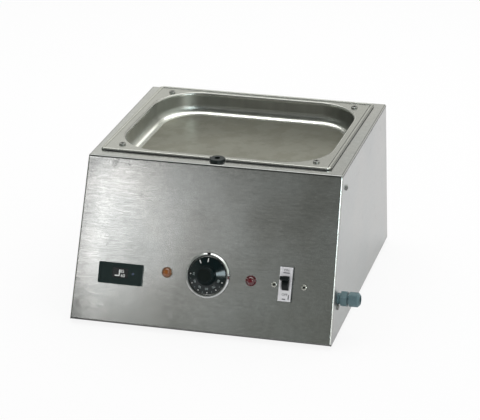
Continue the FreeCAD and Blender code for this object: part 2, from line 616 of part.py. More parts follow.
def make_base_plate():
    """A flat plate on the lips, with two fields of slots."""
    body = body_named("base_plate")
    sketch = sketch_on(body, "XY_Plane", "base_outline", "foot_tall + steel")
    half = "(%s / 2 - side_lean * 2 * steel / case_tall - 2 * steel - seam - plate_gap)" % BASE_WIDE
    rear = "%s - steel - plate_gap" % BACK
    nose = "%s + 2 * steel + lip_gap + plate_gap" % FRONT
    draw_outline(sketch, (("%s - %s" % (MID, half), nose), ("%s + %s" % (MID, half), nose),
                          ("%s + %s" % (MID, half), rear), ("%s - %s" % (MID, half), rear)))
    add_pad(body, sketch, "steel")
    round_body(body, "plate_corner", upright)
    for hand, side in ((-1, "left"), (1, "right")):
        slot = sketch_on(body, "XY_Plane", "slot_%s" % side, "foot_tall + steel")
        middle = "%s + %d * slots_aside" % (MID, hand)
        start = "-(slot_pitch * (slots - 1) + slot_wide) / 2"
        draw_outline(slot, (("%s - slot_long / 2" % middle, start),
                            ("%s + slot_long / 2" % middle, start),
                            ("%s + slot_long / 2" % middle, "%s + slot_wide" % start),
                            ("%s - slot_long / 2" % middle, "%s + slot_wide" % start)))
        pocket = add_pocket(body, slot)
        pattern = body.newObject("PartDesign::LinearPattern", "slots_%s" % side)
        pattern.Originals = [pocket]
        pattern.Direction = (slot, ["V_Axis"])
        pattern.Occurrences = int(d.slots)
        bind(pattern, Length="slot_pitch * (slots - 1)")
        body.Tip = pattern
    holes = sketch_on(body, "XY_Plane", "base_holes", "foot_tall + steel")
    for x, y in list(foot_spots()) + list(base_bolt_spots()):
        draw_circle(holes, x, y, BOLT_HOLE)
    draw_circle(holes, "%s + earth_x" % MID, "earth_y", "earth_wide + 2 * bolt_play")
    body.Tip = add_pocket(body, holes)
    return body


def make_feet():
    """Four rubber feet with their screws and nuts."""
    feet, screws, nuts = [], [], []
    tall = "(foot_tall + steel)"
    for k, (x, y) in enumerate(foot_spots()):
        cone = doc.addObject("Part::Cone", "foot_cone_%d" % k)
        bind(cone, Radius1="foot_wide / 2 - foot_taper", Radius2="foot_wide / 2", Height=tall)
        place(cone, x, y, "0")
        recess = rod("foot_recess_%d" % k, "head_wide + 2 * lip_gap", "2 * foot_recess", x, y, "-foot_recess")
        bore = rod("foot_bore_%d" % k, BOLT_HOLE, "2 * foot_tall + overrun", x, y, "0")
        feet.append(cut("foot_%d" % k, cone, [recess, bore]))
        grip = "(%s - foot_recess + steel + nut_tall + bolt_tip)" % tall
        made = screw("foot_screw_up_%d" % k, "head_wide", "head_tall", grip)
        screws.append(place(made, x, y, "foot_recess", X_AXIS, "180"))
        nuts.append(nut("foot_nut_%d" % k, "nut_flat", "nut_tall", NUT_BORE, x, y, DECK))
    return group("rubber_feet", feet), group("foot_screws", screws), group("foot_nuts", nuts)


def make_base_screws():
    """Screws that hold the base plate to the lips, with nuts above."""
    screws, nuts = [], []
    for k, (x, y) in enumerate(base_bolt_spots()):
        made = screw("base_screw_%d" % k, "head_wide", "head_tall", "2 * steel + nut_tall + bolt_tip")
        screws.append(place(made, x, y, "foot_tall", X_AXIS, "180"))
        nuts.append(nut("base_nut_%d" % k, "nut_flat", "nut_tall", NUT_BORE, x, y, DECK))
    return group("base_screws", screws), group("base_nuts", nuts)


def make_shell_screws():
    """Self-tapping screws that hold the wrap to the front shell's lips, at the sides and the back."""
    screws = []
    shank = "2 * steel + seam + bolt_tip"
    for k, (set_back, height, hand) in enumerate(side_bolt_places()):
        made = screw("side_screw_%d" % k, "head_wide", "head_tall", shank)
        screws.append(on_side(made, set_back, height, "0", hand))
    for hand in SIDES:
        x = "%s + %d * (%s / 2 - rear_bolt_in)" % (MID, hand, TOP_WIDE)
        made = screw("rear_screw_%d" % (hand + 2), "head_wide", "head_tall", shank)
        screws.append(place(made, x, BACK, "%s - rear_bolt_drop" % TOP, X_AXIS, "-90"))
    return group("shell_screws", screws)


def well_form(name, grow, top_over):
    """The pan's well as a solid: its walls draw in towards the floor, its corners are round."""
    reach = "(%s)" % grow
    rise = "(%s)" % top_over
    wedge = doc.addObject("Part::Wedge", name + "_wedge")
    deep = "(well_deep + %s)" % reach
    flare = "well_draft * %s / well_deep" % rise
    wide, long = "(%s / 2 + %s)" % (WELL_WIDE, reach), "(%s / 2 + %s)" % (WELL_LONG, reach)
    bind(wedge, Ymin="-%s" % deep, Ymax=rise,
         Xmin="-(%s - well_draft)" % wide, Xmax="%s - well_draft" % wide,
         X2min="-(%s + %s)" % (wide, flare), X2max="%s + %s" % (wide, flare),
         Zmin="-(%s - well_draft)" % long, Zmax="%s - well_draft" % long,
         Z2min="-(%s + %s)" % (long, flare), Z2max="%s + %s" % (long, flare))
    return place(wedge, "0", "0", PAN_TOP, X_AXIS, "90")


def make_pan():
    """The stamped pan: a flange with a raised bead, a rolled rim and a shallow well."""
    top = number(PAN_TOP)
    floor = number("%s - well_deep" % PAN_TOP)

    def corner(middle, direction):
        return abs(direction.z) > 0.9

    def lowest(level):
        return lambda middle, direction: middle.z < level + d.pan_sheet / 2

    outer = rounded("well_outer", rounded("well_outer_corners", well_form("well_outer", "pan_sheet", "-pan_sheet / 2"),
                                          d.well_corner + d.pan_sheet, corner),
                    d.well_floor_round + d.pan_sheet, lowest(floor - d.pan_sheet))
    inner = rounded("well_inner", rounded("well_inner_corners", well_form("well_inner", "0", "overrun"),
                                          d.well_corner, corner),
                    d.well_floor_round, lowest(floor))
    flange = rounded_prism("pan_flange", "pan_wide", "pan_long", "pan_sheet", d.pan_corner,
                           "0", "0", "%s + gasket" % TOP)
    blank = fuse("pan_blank", [flange, outer])

    def inside_bead(middle):
        return abs(middle.x) < d.pan_wide / 2 - d.bead_wide and abs(middle.y) < d.pan_long / 2 - d.bead_wide

    def under_rim(middle, direction):
        return inside_bead(middle) and near(middle.z, top - d.pan_sheet)

    rolled = rounded("pan_rolled", blank, d.rim_round, under_rim)
    hollow = cut("pan_hollow", rolled, [inner])

    def over_rim(middle, direction):
        return inside_bead(middle) and near(middle.z, top)

    rimmed = rounded("pan_rimmed", hollow, d.rim_round + d.pan_sheet, over_rim)

    bead_top = "(pan_sheet / 2 + bead_tall)"
    base = "%s - pan_sheet / 2" % PAN_TOP
    ring_outer = rounded_prism("bead_outer", "pan_wide", "pan_long", bead_top, d.pan_corner, "0", "0", base)
    ring_inner = rounded_prism("bead_inner", "pan_wide - 2 * bead_wide", "pan_long - 2 * bead_wide",
                               "3 * bead_tall", d.pan_corner - d.bead_wide, "0", "0", base)
    ring = cut("bead_ring", ring_outer, [ring_inner])
    bead = rounded("bead", ring, d.bead_round, lambda m, t: m.z > top + d.bead_tall / 2)
    whole = fuse("pan_whole", [rimmed, bead])
    drilled = on_pan(cut("pan_drilled", whole, pan_bolt_holes("pan")))
    return cut("tank", drilled, [notch("pan_notch")])


def notch(name):
    """The half-round notch that leaves room for the grommet."""
    return rod(name, "grommet_wide + 2 * notch_gap", "4 * overrun", MID, PAN_FRONT, "%s - 2 * overrun" % TOP)


def make_gasket():
    """Flat silicone gasket under the pan's flange."""
    outer = rounded_prism("gasket_outer", "pan_wide - 2 * seam", "pan_long - 2 * seam", "gasket",
                          d.pan_corner, "0", "0", TOP)
    inner = rounded_prism("gasket_inner", "%s + 2 * cutout_gap" % WELL_WIDE, "%s + 2 * cutout_gap" % WELL_LONG,
                          "4 * overrun", d.well_corner + d.cutout_gap, "0", "0", "%s - 2 * overrun" % TOP)
    ring = on_pan(cut("gasket_ring", outer, [inner] + pan_bolt_holes("gasket")))
    return cut("tank_gasket", ring, [notch("gasket_notch")])


def make_pan_screws():
    """Screws through the flange's corners, with nuts below the top."""
    screws, nuts = [], []
    for k, (a, b) in enumerate(CORNERS):
        x, y = "%d * %s" % (a, PAN_BOLT_X), "%d * %s" % (b, PAN_BOLT_Y)
        screws.append(screw("pan_screw_%d" % k, "pan_head_wide", "pan_head_tall",
                            "pan_sheet + gasket + steel + nut_tall + bolt_tip", x, y, PAN_TOP))
        nuts.append(nut("pan_nut_%d" % k, "nut_flat", "nut_tall", NUT_BORE, x, y, "%s - steel - nut_tall" % TOP))
    return on_pan(group("tank_screws", screws)), on_pan(group("tank_nuts", nuts))


def make_grommet():
    """Rubber grommet: a head above the top, a neck through it and a barb below."""
    half_bore, half_neck = "(grommet_bore / 2)", "(grommet_neck / 2)"
    half_head, half_barb = "(grommet_wide / 2)", "(grommet_barb / 2)"
    body = turned("probe_grommet", (
        (half_bore, "-steel - grommet_barb_tall"), (half_neck, "-steel - grommet_barb_tall"),
        (half_barb, "-steel"), (half_neck, "-steel"), (half_neck, "0"), (half_head, "0"),
        (half_head, "grommet_head"), (half_bore, "grommet_head")))
    round_body(body, "grommet_round", lambda m, t: near(m.z, d.grommet_head) and
               math.hypot(m.x, m.y) > d.grommet_neck / 2)
    return place(body, MID, PAN_FRONT, TOP)


def stud_spots():
    """Where the studs stand under the pan, from its middle."""
    for a, b in CORNERS:
        yield "%d * %s" % (a, STUD_X), "%d * %s" % (b, STUD_Y)


def make_heater():
    """Heater mat, insulation, tray, studs and nuts under the pan."""
    mat = on_pan(group("heater_mat", [rounded_prism("mat_sheet", MAT_WIDE, MAT_LONG, "mat_thick", d.plate_corner,
                                                    "0", "0", "%s - mat_thick" % PAN_UNDER)]))
    pad_z = "(%s - mat_thick - pad_thick)" % PAN_UNDER
    pad_block = rounded_prism("pad_block", PAD_WIDE, PAD_LONG, "pad_thick", d.plate_corner, "0", "0", pad_z)
    holes = [rod("pad_hole_%d" % k, "bolt + 2 * seam", "3 * pad_thick", x, y, "%s - pad_thick" % pad_z)
             for k, (x, y) in enumerate(stud_spots())]
    groove_end, groove_start = "(bulb_long / 2 + clip_wide)", "(%s / 2 + overrun)" % PAD_WIDE
    groove = block("pad_groove", "%s + %s" % (groove_start, groove_end), "bulb_wide + 2 * clip_foot + 4 * tray_gap",
                   "bulb_wide + 3 * clip_sheet", "(%s - %s) / 2" % (groove_end, groove_start),
                   BULB_Y, "%s - bulb_wide - 2 * clip_sheet" % PAN_UNDER)
    pad = on_pan(cut("insulation_pad", pad_block, holes + [groove]))

    grow = "2 * (tray_gap + tray_sheet)"
    outside = rounded_prism("tray_outside", "%s + %s" % (PAD_WIDE, grow), "%s + %s" % (PAD_LONG, grow),
                            "tray_wall", d.plate_corner + d.tray_gap + d.tray_sheet, "0", "0", TRAY_UNDER)
    inside = rounded_prism("tray_inside", "%s + 2 * tray_gap" % PAD_WIDE, "%s + 2 * tray_gap" % PAD_LONG,
                           "2 * tray_wall", d.plate_corner + d.tray_gap, "0", "0", "%s + tray_sheet" % TRAY_UNDER)
    tray_holes = [rod("tray_hole_%d" % k, BOLT_HOLE, "4 * overrun", x, y, "%s - 2 * overrun" % TRAY_UNDER)
                  for k, (x, y) in enumerate(stud_spots())]
    tray = on_pan(cut("insulation_tray", outside, [inside] + tray_holes))

    reach = "(%s - %s + nut_tall + bolt_tip)" % (PAN_UNDER, TRAY_UNDER)
    studs = [rod("stud_%d" % k, "bolt - 2 * bolt_play", reach, x, y, "%s - %s" % (PAN_UNDER, reach))
             for k, (x, y) in enumerate(stud_spots())]
    nuts = [nut("tray_nut_%d" % k, "nut_flat", "nut_tall", NUT_BORE, x, y, "%s - nut_tall" % TRAY_UNDER)
            for k, (x, y) in enumerate(stud_spots())]
    return mat, pad, tray, on_pan(group("tray_studs", studs)), on_pan(group("tray_nuts", nuts))


def make_dial():
    """Chrome bezel, fluted knob, cap and shaft."""
    bezel = turned("dial_bezel", (
        ("bezel_foot / 2", "0"), ("bezel_wide / 2", "0"), ("bezel_wide / 2", "bezel_tall / 2"),
        ("bezel_wide / 2 - bezel_round", "bezel_tall"), ("bezel_bore / 2 + bezel_round / 2", "bezel_tall"),
        ("bezel_bore / 2", "bezel_tall - bezel_round"), ("bezel_bore / 2", "bezel_floor"),
        ("bezel_foot / 2", "bezel_floor")))
    on_panel(bezel, "dial_x", "dial_up")

    half_hub, half_shaft = "(hub_wide / 2)", "(shaft_wide / 2 + shaft_play)"
    knob = turned("dial_knob", (
        (half_shaft, "knob_lift"), (half_hub, "knob_lift"), (half_hub, "knob_lift + knob_hollow"),
        ("knob_hollow_wide / 2", "knob_lift + knob_hollow"), ("knob_hollow_wide / 2", "knob_lift"),
        ("knob_wide / 2", "knob_lift"), ("knob_wide / 2", "knob_lift + knob_rim"),
        ("knob_shoulder_wide / 2", "knob_shoulder"), ("boss_wide / 2", "knob_shoulder"),
        ("boss_top_wide / 2", "boss_tall"), ("cap_wide / 2 + seam", "boss_tall"),
        ("cap_wide / 2 + seam", "boss_tall - cap_thick + cap_proud"),
        (half_shaft, "boss_tall - cap_thick + cap_proud")))
    flute = sketch_on(knob, "XY_Plane", "flute_outline", "knob_shoulder + boss_round")
    draw_circle(flute, "boss_wide / 2 + flute_wide / 2 - flute_sink", "0", "flute_wide")
    pocket = knob.newObject("PartDesign::Pocket", "flute")
    pocket.Profile = flute
    pocket.Reversed = True
    bind(pocket, Length="boss_tall")
    pattern = knob.newObject("PartDesign::PolarPattern", "flutes_around")
    pattern.Originals = [pocket]
    pattern.Axis = (flute, ["N_Axis"])
    pattern.Angle = FULL_TURN
    pattern.Occurrences = int(d.flutes)
    knob.Tip = pattern
    on_panel(knob, "dial_x", "dial_up")

    cap = rod("dial_cap_disc", "cap_wide", "cap_thick", z="boss_tall - cap_thick + cap_proud")
    domed = rounded("dial_cap", cap, d.cap_thick / 2, lambda m, t: near(m.z, d.boss_tall + d.cap_proud))
    on_panel(domed, "dial_x", "dial_up")

    shaft = rod("thermostat_shaft", "shaft_wide", "shaft_in + shaft_out")
    on_panel(shaft, "dial_x", "dial_up", "-shaft_in")
    return bezel, knob, domed, shaft


def make_thermostat():
    """Thermostat behind the panel: front plate, housing, bush and terminal tabs."""
    plate = block("stat_plate_block", "stat_plate_wide", "stat_plate_long", "stat_plate",
                  z="-steel - stat_plate")
    housing = rounded_prism("stat_housing", "stat_wide", "stat_long", "stat_deep", d.plate_corner,
                            "0", "0", "-steel - stat_plate - stat_deep")
    bush = rod("stat_bush", "bush_wide", "bush_out + steel + stat_plate", z="-steel - stat_plate")
    tabs = []
    for a, b in CORNERS:
        tabs.append(block("stat_tab_%d_%d" % (a + 2, b + 2), "tab_wide", "tab_thick", "tab_tall + steel",
                          "%d * tab_pitch / 2" % a, "%d * tab_pitch / 2" % b,
                          "-2 * steel - stat_plate - stat_deep - tab_tall + steel"))
    whole = fuse("stat_whole", [plate, housing, bush] + tabs)
    bore = rod("stat_bore", "shaft_wide + 2 * shaft_play", "shaft_in + bush_floor + overrun",
               z="-shaft_in - bush_floor")
    tools = [bore]
    screws = []
    for hand in SIDES:
        tools.append(rod("stat_thread_%d" % (hand + 2), NUT_BORE, "2 * overrun", "%d * stat_bolt" % hand, "0",
                         "-steel - stat_plate - overrun"))
        made = screw("stat_screw_%d" % (hand + 2), "head_wide", "stat_head_tall", "steel + stat_plate + bolt_tip")
        screws.append(on_panel(made, "dial_x + %d * stat_bolt" % hand, "dial_up"))
    body = cut("thermostat_body", whole, tools)
    return on_panel(body, "dial_x", "dial_up"), group("thermostat_screws", screws)


def pipe_through(points, wide, bend):
    """A round bar along straight runs joined by arcs of one radius."""
    edges = []
    start = points[0]
    for before, here, after in zip(points, points[1:], points[2:]):
        arrive, leave = (here - before).normalize(), (after - here).normalize()
        turn = arrive.getAngle(leave)
        back_off = bend * math.tan(turn / 2)
        first, last = here - arrive * back_off, here + leave * back_off
        inward = (leave - arrive).normalize()
        heart = here + inward * (bend / math.cos(turn / 2))
        edges.append(Part.LineSegment(start, first).toShape())
        edges.append(Part.Arc(first, heart - inward * bend, last).toShape())
        start = last
    edges.append(Part.LineSegment(start, points[-1]).toShape())
    route = Part.Wire(edges)
    ring = Part.Wire(Part.Circle(points[0], points[1] - points[0], wide / 2).toShape())
    return route.makePipeShell([ring], True, False)


def make_bulb():
    """Capillary and bulb: from the thermostat's rear, up and along the pan's underside."""
    rake = math.radians(d.rake)
    depth = d.steel + d.stat_plate + d.stat_deep
    outward = FreeCAD.Vector(0, -math.cos(rake), math.sin(rake))
    upward = FreeCAD.Vector(0, math.sin(rake), math.cos(rake))
    foot = FreeCAD.Vector(number("%s + dial_x" % MID), number(FRONT), d.foot_tall)
    start = foot + upward * d.dial_up - outward * depth
    under, low = "%s - bulb_wide / 2" % PAN_UNDER, "foot_tall + case_tall / 2"
    beside = "-%s / 2 - pipe_drop" % PAD_WIDE
    points = [start, start - outward * d.pipe_drop,
              FreeCAD.Vector(start.x, start.y + 3 * d.pipe_drop, number(low)),
              pan_point(beside, BULB_Y, low), pan_point(beside, BULB_Y, under),
              pan_point("-bulb_long / 2 + pipe_drop / 4", BULB_Y, under)]
    pipe = doc.addObject("Part::Feature", "capillary_pipe")
    pipe.Shape = pipe_through(points, d.pipe_wide, d.pipe_drop / 2)
    bulb = doc.addObject("Part::Cylinder", "bulb_rod")
    bind(bulb, Radius="bulb_wide / 2", Height="bulb_long")
    place(bulb, "-bulb_long / 2", BULB_Y, under, Y_AXIS, "90")
    whole = fuse("capillary_bulb", [pipe, on_pan(group("bulb_turned", [bulb]))])

    clips = []
    for hand in SIDES:
        x, y = "%d * bulb_long / 3" % hand, BULB_Y
        strap = block("clip_strap_%d" % (hand + 2), "clip_wide", "bulb_wide + 2 * clip_sheet", "bulb_wide + clip_sheet",
                      x, y, "%s - bulb_wide - clip_sheet" % PAN_UNDER)
        feet = block("clip_feet_%d" % (hand + 2), "clip_wide", "bulb_wide + 2 * clip_foot", "clip_sheet",
                     x, y, "%s - clip_sheet" % PAN_UNDER)
        joined = fuse("clip_whole_%d" % (hand + 2), [strap, feet])
        room = block("clip_room_%d" % (hand + 2), "2 * clip_wide", "bulb_wide", "2 * bulb_wide",
                     x, y, "%s - bulb_wide" % PAN_UNDER)
        clips.append(cut("clip_%d" % (hand + 2), joined, [room]))
    return whole, on_pan(group("bulb_clips", clips))


def make_lamp(colour, across):
    """One pilot lamp: ring, domed lens, body with two pins and a nut behind the panel."""
    ring_disc = rod("%s_ring_disc" % colour, "lamp_ring_wide", "lamp_ring_tall")
    ring_domed = rounded("%s_ring_domed" % colour, ring_disc, d.lamp_ring_round,
                         lambda m, t: near(m.z, d.lamp_ring_tall))
    seat = rod("%s_ring_seat" % colour, "lens_wide + 2 * thread_play", "4 * lamp_ring_tall", z="-lamp_ring_tall")
    ring = cut("%s_lamp_ring" % colour, ring_domed, [seat])
    on_panel(ring, across, "lamp_up")

    lens_rod = rod("%s_lens_rod" % colour, "lens_wide", "lens_tall")
    lens = rounded("%s_lens" % colour, lens_rod, d.lens_round, lambda m, t: near(m.z, d.lens_tall))
    on_panel(lens, across, "lamp_up")

    barrel = rod("%s_barrel" % colour, "lamp_thread", "lamp_long", z="-lamp_long")
    pins = [block("%s_pin_%d" % (colour, hand + 2), "3 * lamp_pin", "lamp_pin", "lamp_pin_tall + steel",
                  "0", "%d * lamp_thread / 4" % hand, "-lamp_long - lamp_pin_tall") for hand in SIDES]
    body = fuse("%s_lamp_body" % colour, [barrel] + pins)
    on_panel(body, across, "lamp_up")

    holder = nut("%s_lamp_nut" % colour, "lamp_nut_flat", "lamp_nut_tall", "lamp_thread + 2 * thread_play",
                 z="-steel - lamp_nut_tall")
    on_panel(holder, across, "lamp_up")
    return ring, lens, body, holder


def make_display():
    """Display: bezel, window, lamp, case and two spring clips."""
    plate = rounded_prism("display_plate", "display_wide", "display_long", "display_tall",
                          d.display_corner, "0", "0", "0")
    recess = rounded_prism("display_recess", "display_wide - 2 * display_frame",
                           "display_long - 2 * display_frame", "display_tall", d.display_corner / 2,
                           "0", "0", "display_tall - display_sink")
    opening = block("display_opening", "window_wide", "window_long", "2 * display_tall",
                    "window_x", "window_y", "display_tall - display_sink - window_thick")
    led_hole = rod("display_led_hole", "led_wide + 2 * seam", "2 * display_tall", "led_x", "led_y",
                   "display_tall - display_sink - led_tall")
    bezel = cut("display_bezel", plate, [recess, opening, led_hole])
    on_panel(bezel, "display_x", "display_up")

    pane = block("display_pane", "window_wide - 2 * thread_play", "window_long - 2 * thread_play", "window_thick",
                 "window_x", "window_y", "display_tall - display_sink - window_thick")
    window = rounded("display_window", pane, d.window_thick / 4,
                     lambda m, t: near(m.z, d.display_tall - d.display_sink) and abs(t.z) < 0.5)
    on_panel(window, "display_x", "display_up")

    led_rod = rod("display_led_rod", "led_wide", "led_tall + display_sink / 2", "led_x", "led_y",
                  "display_tall - display_sink - led_tall")
    led = rounded("display_led", led_rod, d.led_tall / 3,
                  lambda m, t: near(m.z, d.display_tall - d.display_sink / 2))
    on_panel(led, "display_x", "display_up")

    case = rounded_prism("display_case", "module_wide", "module_long", "module_deep", d.display_corner / 2,
                         "0", "0", "-module_deep")
    on_panel(case, "display_x", "display_up")

    clips = []
    for hand in SIDES:
        blade = body_named("display_clip_%d" % (hand + 2))
        sketch = sketch_on(blade, "XZ_Plane", "display_clip_outline_%d" % (hand + 2))
        inner = "%d * (module_wide / 2)" % hand
        outer = "%d * (module_wide / 2 + spring_sheet)" % hand
        flare = "%d * (module_wide / 2 + spring_sheet + spring_flare)" % hand
        heel = "%d * (module_wide / 2 + spring_flare)" % hand
        draw_outline(sketch, ((inner, "-steel - spring_long"), (outer, "-steel - spring_long"),
                              (flare, "-steel - spring_sheet"), (flare, "-steel"), (heel, "-steel"),
                              (heel, "-steel - spring_sheet"),
                              (inner, "-steel - spring_long + 2 * spring_sheet")))
        blade.Tip = add_pad(blade, sketch, "spring_wide", symmetric=True)
        clips.append(on_panel(blade, "display_x", "display_up"))
    return bezel, window, led, case, group("display_clips", clips)


def make_breaker():
    """Breaker body, toggle, hat-shaped bracket, screws and nuts."""
    housing = body_named("breaker_housing")
    sketch = sketch_on(housing, "YZ_Plane", "breaker_profile")
    half_nose, half_body = "(nose_long / 2)", "(shoulder_long / 2)"
    floor = "(-nose_in - shoulder_deep)"
    draw_outline(sketch, (
        ("-%s" % half_nose, "nose_out"), (half_nose, "nose_out"), (half_nose, "-nose_in"),
        (half_body, "-nose_in"), (half_body, floor), ("-%s" % half_body, floor),
        ("-%s" % half_body, "-nose_in"), ("-%s" % half_nose, "-nose_in")))
    housing.Tip = add_pad(housing, sketch, "nose_wide", symmetric=True)
    round_body(housing, "nose_round", lambda m, t: near(m.z, d.nose_out))
    inset = block("breaker_inset", "nose_wide - 2 * rail_wide", "nose_long - 2 * rail_margin", "2 * rail_sink",
                  z="nose_out - rail_sink")
    slot = block("breaker_slot", "drum_thick + 2 * drum_play", "2 * slot_half", "drum_in + overrun",
                 y="drum_up", z="nose_out - drum_in")
    pocket = rod_along_x("breaker_pocket", "drum_wide + 2 * drum_play", "drum_thick + 2 * drum_play",
                         y="drum_up", z="nose_out - drum_in")
    seat = rod_along_x("breaker_seat", "pin_wide + 2 * pin_play",
                       "drum_thick + 2 * pin_long + 2 * drum_play", y="drum_up", z="nose_out - drum_in")
    body = cut("breaker_body", housing, [inset, slot, pocket, seat])
    on_panel(body, "breaker_x + nose_shift", "nose_up")

    drum = rod_along_x("toggle_drum", "drum_wide", "drum_thick")
    pins = rod_along_x("toggle_pins", "pin_wide", "drum_thick + 2 * pin_long")
    neck = block("toggle_neck", "drum_thick", "neck_thick", "grip_low + bolt_tip")
    bar = block("toggle_bar", "grip_wide", "grip_thick", "grip_high - grip_low", z="grip_low")
    grip = rounded("toggle_grip", bar, d.grip_round, lambda m, t: abs(t.z) < 0.5 and m.z > d.grip_low + d.grip_round or
                   abs(t.z) > 0.5)
    toggle = fuse("breaker_toggle", [drum, pins, neck, grip])
    on_panel(toggle, "breaker_x + nose_shift", "nose_up + drum_up", "nose_out - drum_in", "throw / 2")

    hat = body_named("breaker_bracket_hat")
    profile = sketch_on(hat, "XZ_Plane", "bracket_profile")
    shift = "nose_shift"
    leg = "(nose_wide / 2 + bracket_play)"
    ear = "(bracket_bolt + bracket_ear / 2)"
    deep = "(nose_in + shoulder_deep)"
    draw_outline(profile, (
        ("-%s" % ear, "-steel"), ("-%s + %s" % (leg, shift), "-steel"),
        ("-%s + %s" % (leg, shift), "-%s" % deep), ("%s + %s" % (leg, shift), "-%s" % deep),
        ("%s + %s" % (leg, shift), "-steel"), (ear, "-steel"), (ear, "-steel - bracket_sheet"),
        ("%s + bracket_sheet + %s" % (leg, shift), "-steel - bracket_sheet"),
        ("%s + bracket_sheet + %s" % (leg, shift), "-%s - bracket_sheet" % deep),
        ("-%s - bracket_sheet + %s" % (leg, shift), "-%s - bracket_sheet" % deep),
        ("-%s - bracket_sheet + %s" % (leg, shift), "-steel - bracket_sheet"),
        ("-%s" % ear, "-steel - bracket_sheet")))
    hat.Tip = add_pad(hat, profile, "bracket_long", symmetric=True)
    holes, screws, nuts = [], [], []
    for hand in SIDES:
        spot = "%d * bracket_bolt" % hand
        holes.append(rod("bracket_hole_%d" % (hand + 2), BOLT_HOLE, "4 * overrun", spot, "0", "-2 * overrun"))
        made = screw("breaker_screw_%d" % (hand + 2), "front_head_wide", "front_head_tall",
                     "steel + bracket_sheet + nut_tall + bolt_tip")
        screws.append(on_panel(made, "breaker_x + %s" % spot, "row_up"))
        fixed = nut("breaker_nut_%d" % (hand + 2), "nut_flat", "nut_tall", NUT_BORE)
        nuts.append(on_panel(fixed, "breaker_x + %s" % spot, "row_up", "-steel - bracket_sheet - nut_tall"))
    bracket = cut("breaker_bracket", hat, holes)
    on_panel(bracket, "breaker_x", "row_up")
    return body, toggle, bracket, group("breaker_screws", screws), group("breaker_nuts", nuts)


def make_gland():
    """Cable gland: body with a hexagon, waist and thread; dome nut; seal; nut inside."""
    collar = hexagon("gland_collar", "gland_hex", "gland_hex_long", z="gland_neck")
    waist_low = "(gland_neck + gland_hex_long)"
    waist = rod("gland_waist_rod", "gland_waist_wide", "gland_waist + gland_dome / 2", z=waist_low)
    tail = rod("gland_tail_rod", "gland_thread", "gland_tail + gland_neck + steel", z="-gland_tail")
    whole = fuse("gland_whole", [collar, waist, tail])
    bore = rod("gland_body_bore", "gland_bore", "2 * (gland_tail + %s)" % GLAND_OUT, z="-gland_tail - overrun")
    body = cut("gland_body", whole, [bore])
    on_side(body, "gland_set", "gland_up")

    low = "(%s + gland_waist)" % waist_low
    high = "(%s + gland_dome)" % low
    inside = "(gland_waist_wide / 2 + thread_play)"
    dome = turned("gland_dome_nut", (
        (inside, low), ("gland_dome_wide / 2", low),
        ("gland_dome_wide / 2", "%s - gland_dome_round" % high),
        ("gland_dome_tip / 2", high), ("gland_bore / 2", high),
        ("gland_bore / 2", "%s - gland_wall" % high), (inside, "%s - gland_wall - gland_wall" % high)))
    on_side(dome, "gland_set", "gland_up")

    seal_low = "(%s + gland_waist)" % waist_low
    ring = rod("gland_seal_ring", "gland_bore - 2 * thread_play", "%s - gland_wall - %s" % (high, seal_low), z=seal_low)
    hole = rod("gland_seal_hole", "seal_bore", "4 * gland_dome", z="0")
    seal = cut("gland_seal", ring, [hole])
    on_side(seal, "gland_set", "gland_up")

    lock = nut("gland_lock_nut", "gland_nut_flat", "gland_nut_tall", "gland_thread + 2 * thread_play",
               z="-2 * steel - seam - gland_nut_tall")
    on_side(lock, "gland_set", "gland_up")
    return body, dome, seal, lock


def make_terminal_block():
    """Three-pole terminal block with its clamp screws, and an earth stud with nuts."""
    x, y = "(%s + block_x)" % MID, "block_y"
    poles, ribs, ports, wires, screws = [], [], [], [], []
    for k in (-1, 0, 1):
        spot = "%s + %d * block_pitch" % (x, k)
        poles.append(block("pole_low_%d" % (k + 2), "block_pitch", "block_long", "block_tall - block_step", spot, y, DECK))
        ribs.append(block("pole_high_%d" % (k + 2), "block_pitch - block_rib", "block_long - 2 * block_step",
                          "block_tall", spot, y, DECK))
        for b in SIDES:
            place_y = "%s + %d * (block_long / 4)" % (y, b)
            ports.append(rod("port_%d_%d" % (k + 2, b + 2), "port_wide", "2 * port_deep", spot, place_y,
                             "%s + block_tall - port_deep" % DECK))
            screws.append(rod("clamp_%d_%d" % (k + 2, b + 2), "clamp_wide", "clamp_tall", spot, place_y,
                              "%s + block_tall - port_deep" % DECK))
        tunnel = rod("tunnel_%d" % (k + 2), "port_wide - lip_gap", "block_long + 4 * overrun")
        wires.append(place(tunnel, spot, "%s - block_long / 2 - 2 * overrun" % y, "%s + port_wide / 2" % DECK,
                           X_AXIS, "-90"))
    whole = fuse("terminal_whole", poles + ribs)
    terminal = cut("terminal_block", whole, ports + wires)

    stud_x, stud_y = "(%s + earth_x)" % MID, "earth_y"
    rodded = rod("earth_rod", "earth_wide", "earth_long", stud_x, stud_y, "foot_tall + steel - earth_nut_tall / 4")
    head = hexagon("earth_head", "earth_nut_flat", "earth_nut_tall / 2", stud_x, stud_y,
                   "foot_tall + steel - earth_nut_tall / 2")
    bolt = fuse("earth_stud", [rodded, head])
    fixed = nut("earth_nut", "earth_nut_flat", "earth_nut_tall", "earth_wide + 2 * thread_play", stud_x, stud_y, DECK)
    return terminal, group("terminal_screws", screws), bolt, fixed


nodes = [make_front_top_shell(), make_side_rear_shell(), make_base_plate()]
nodes += make_feet()
nodes += make_base_screws()
nodes += [make_shell_screws(), make_pan(), make_gasket()]
nodes += make_pan_screws()
nodes += [make_grommet()]
nodes += make_heater()
nodes += make_dial()
nodes += make_thermostat()
nodes += make_bulb()
nodes += make_lamp("amber", "amber_x")
nodes += make_lamp("red", "red_x")
nodes += make_display()
nodes += make_breaker()
nodes += make_gland()
nodes += make_terminal_block()

doc.recompute()
faults = [thing.Name for thing in doc.Objects if "Invalid" in thing.State or "Error" in thing.State]
for node in nodes:
    if node.Shape.isNull() or not node.Shape.isValid() or not node.Shape.Solids:
        faults.append(node.Name)
if faults:
    raise RuntimeError("these objects failed: " + ", ".join(faults))

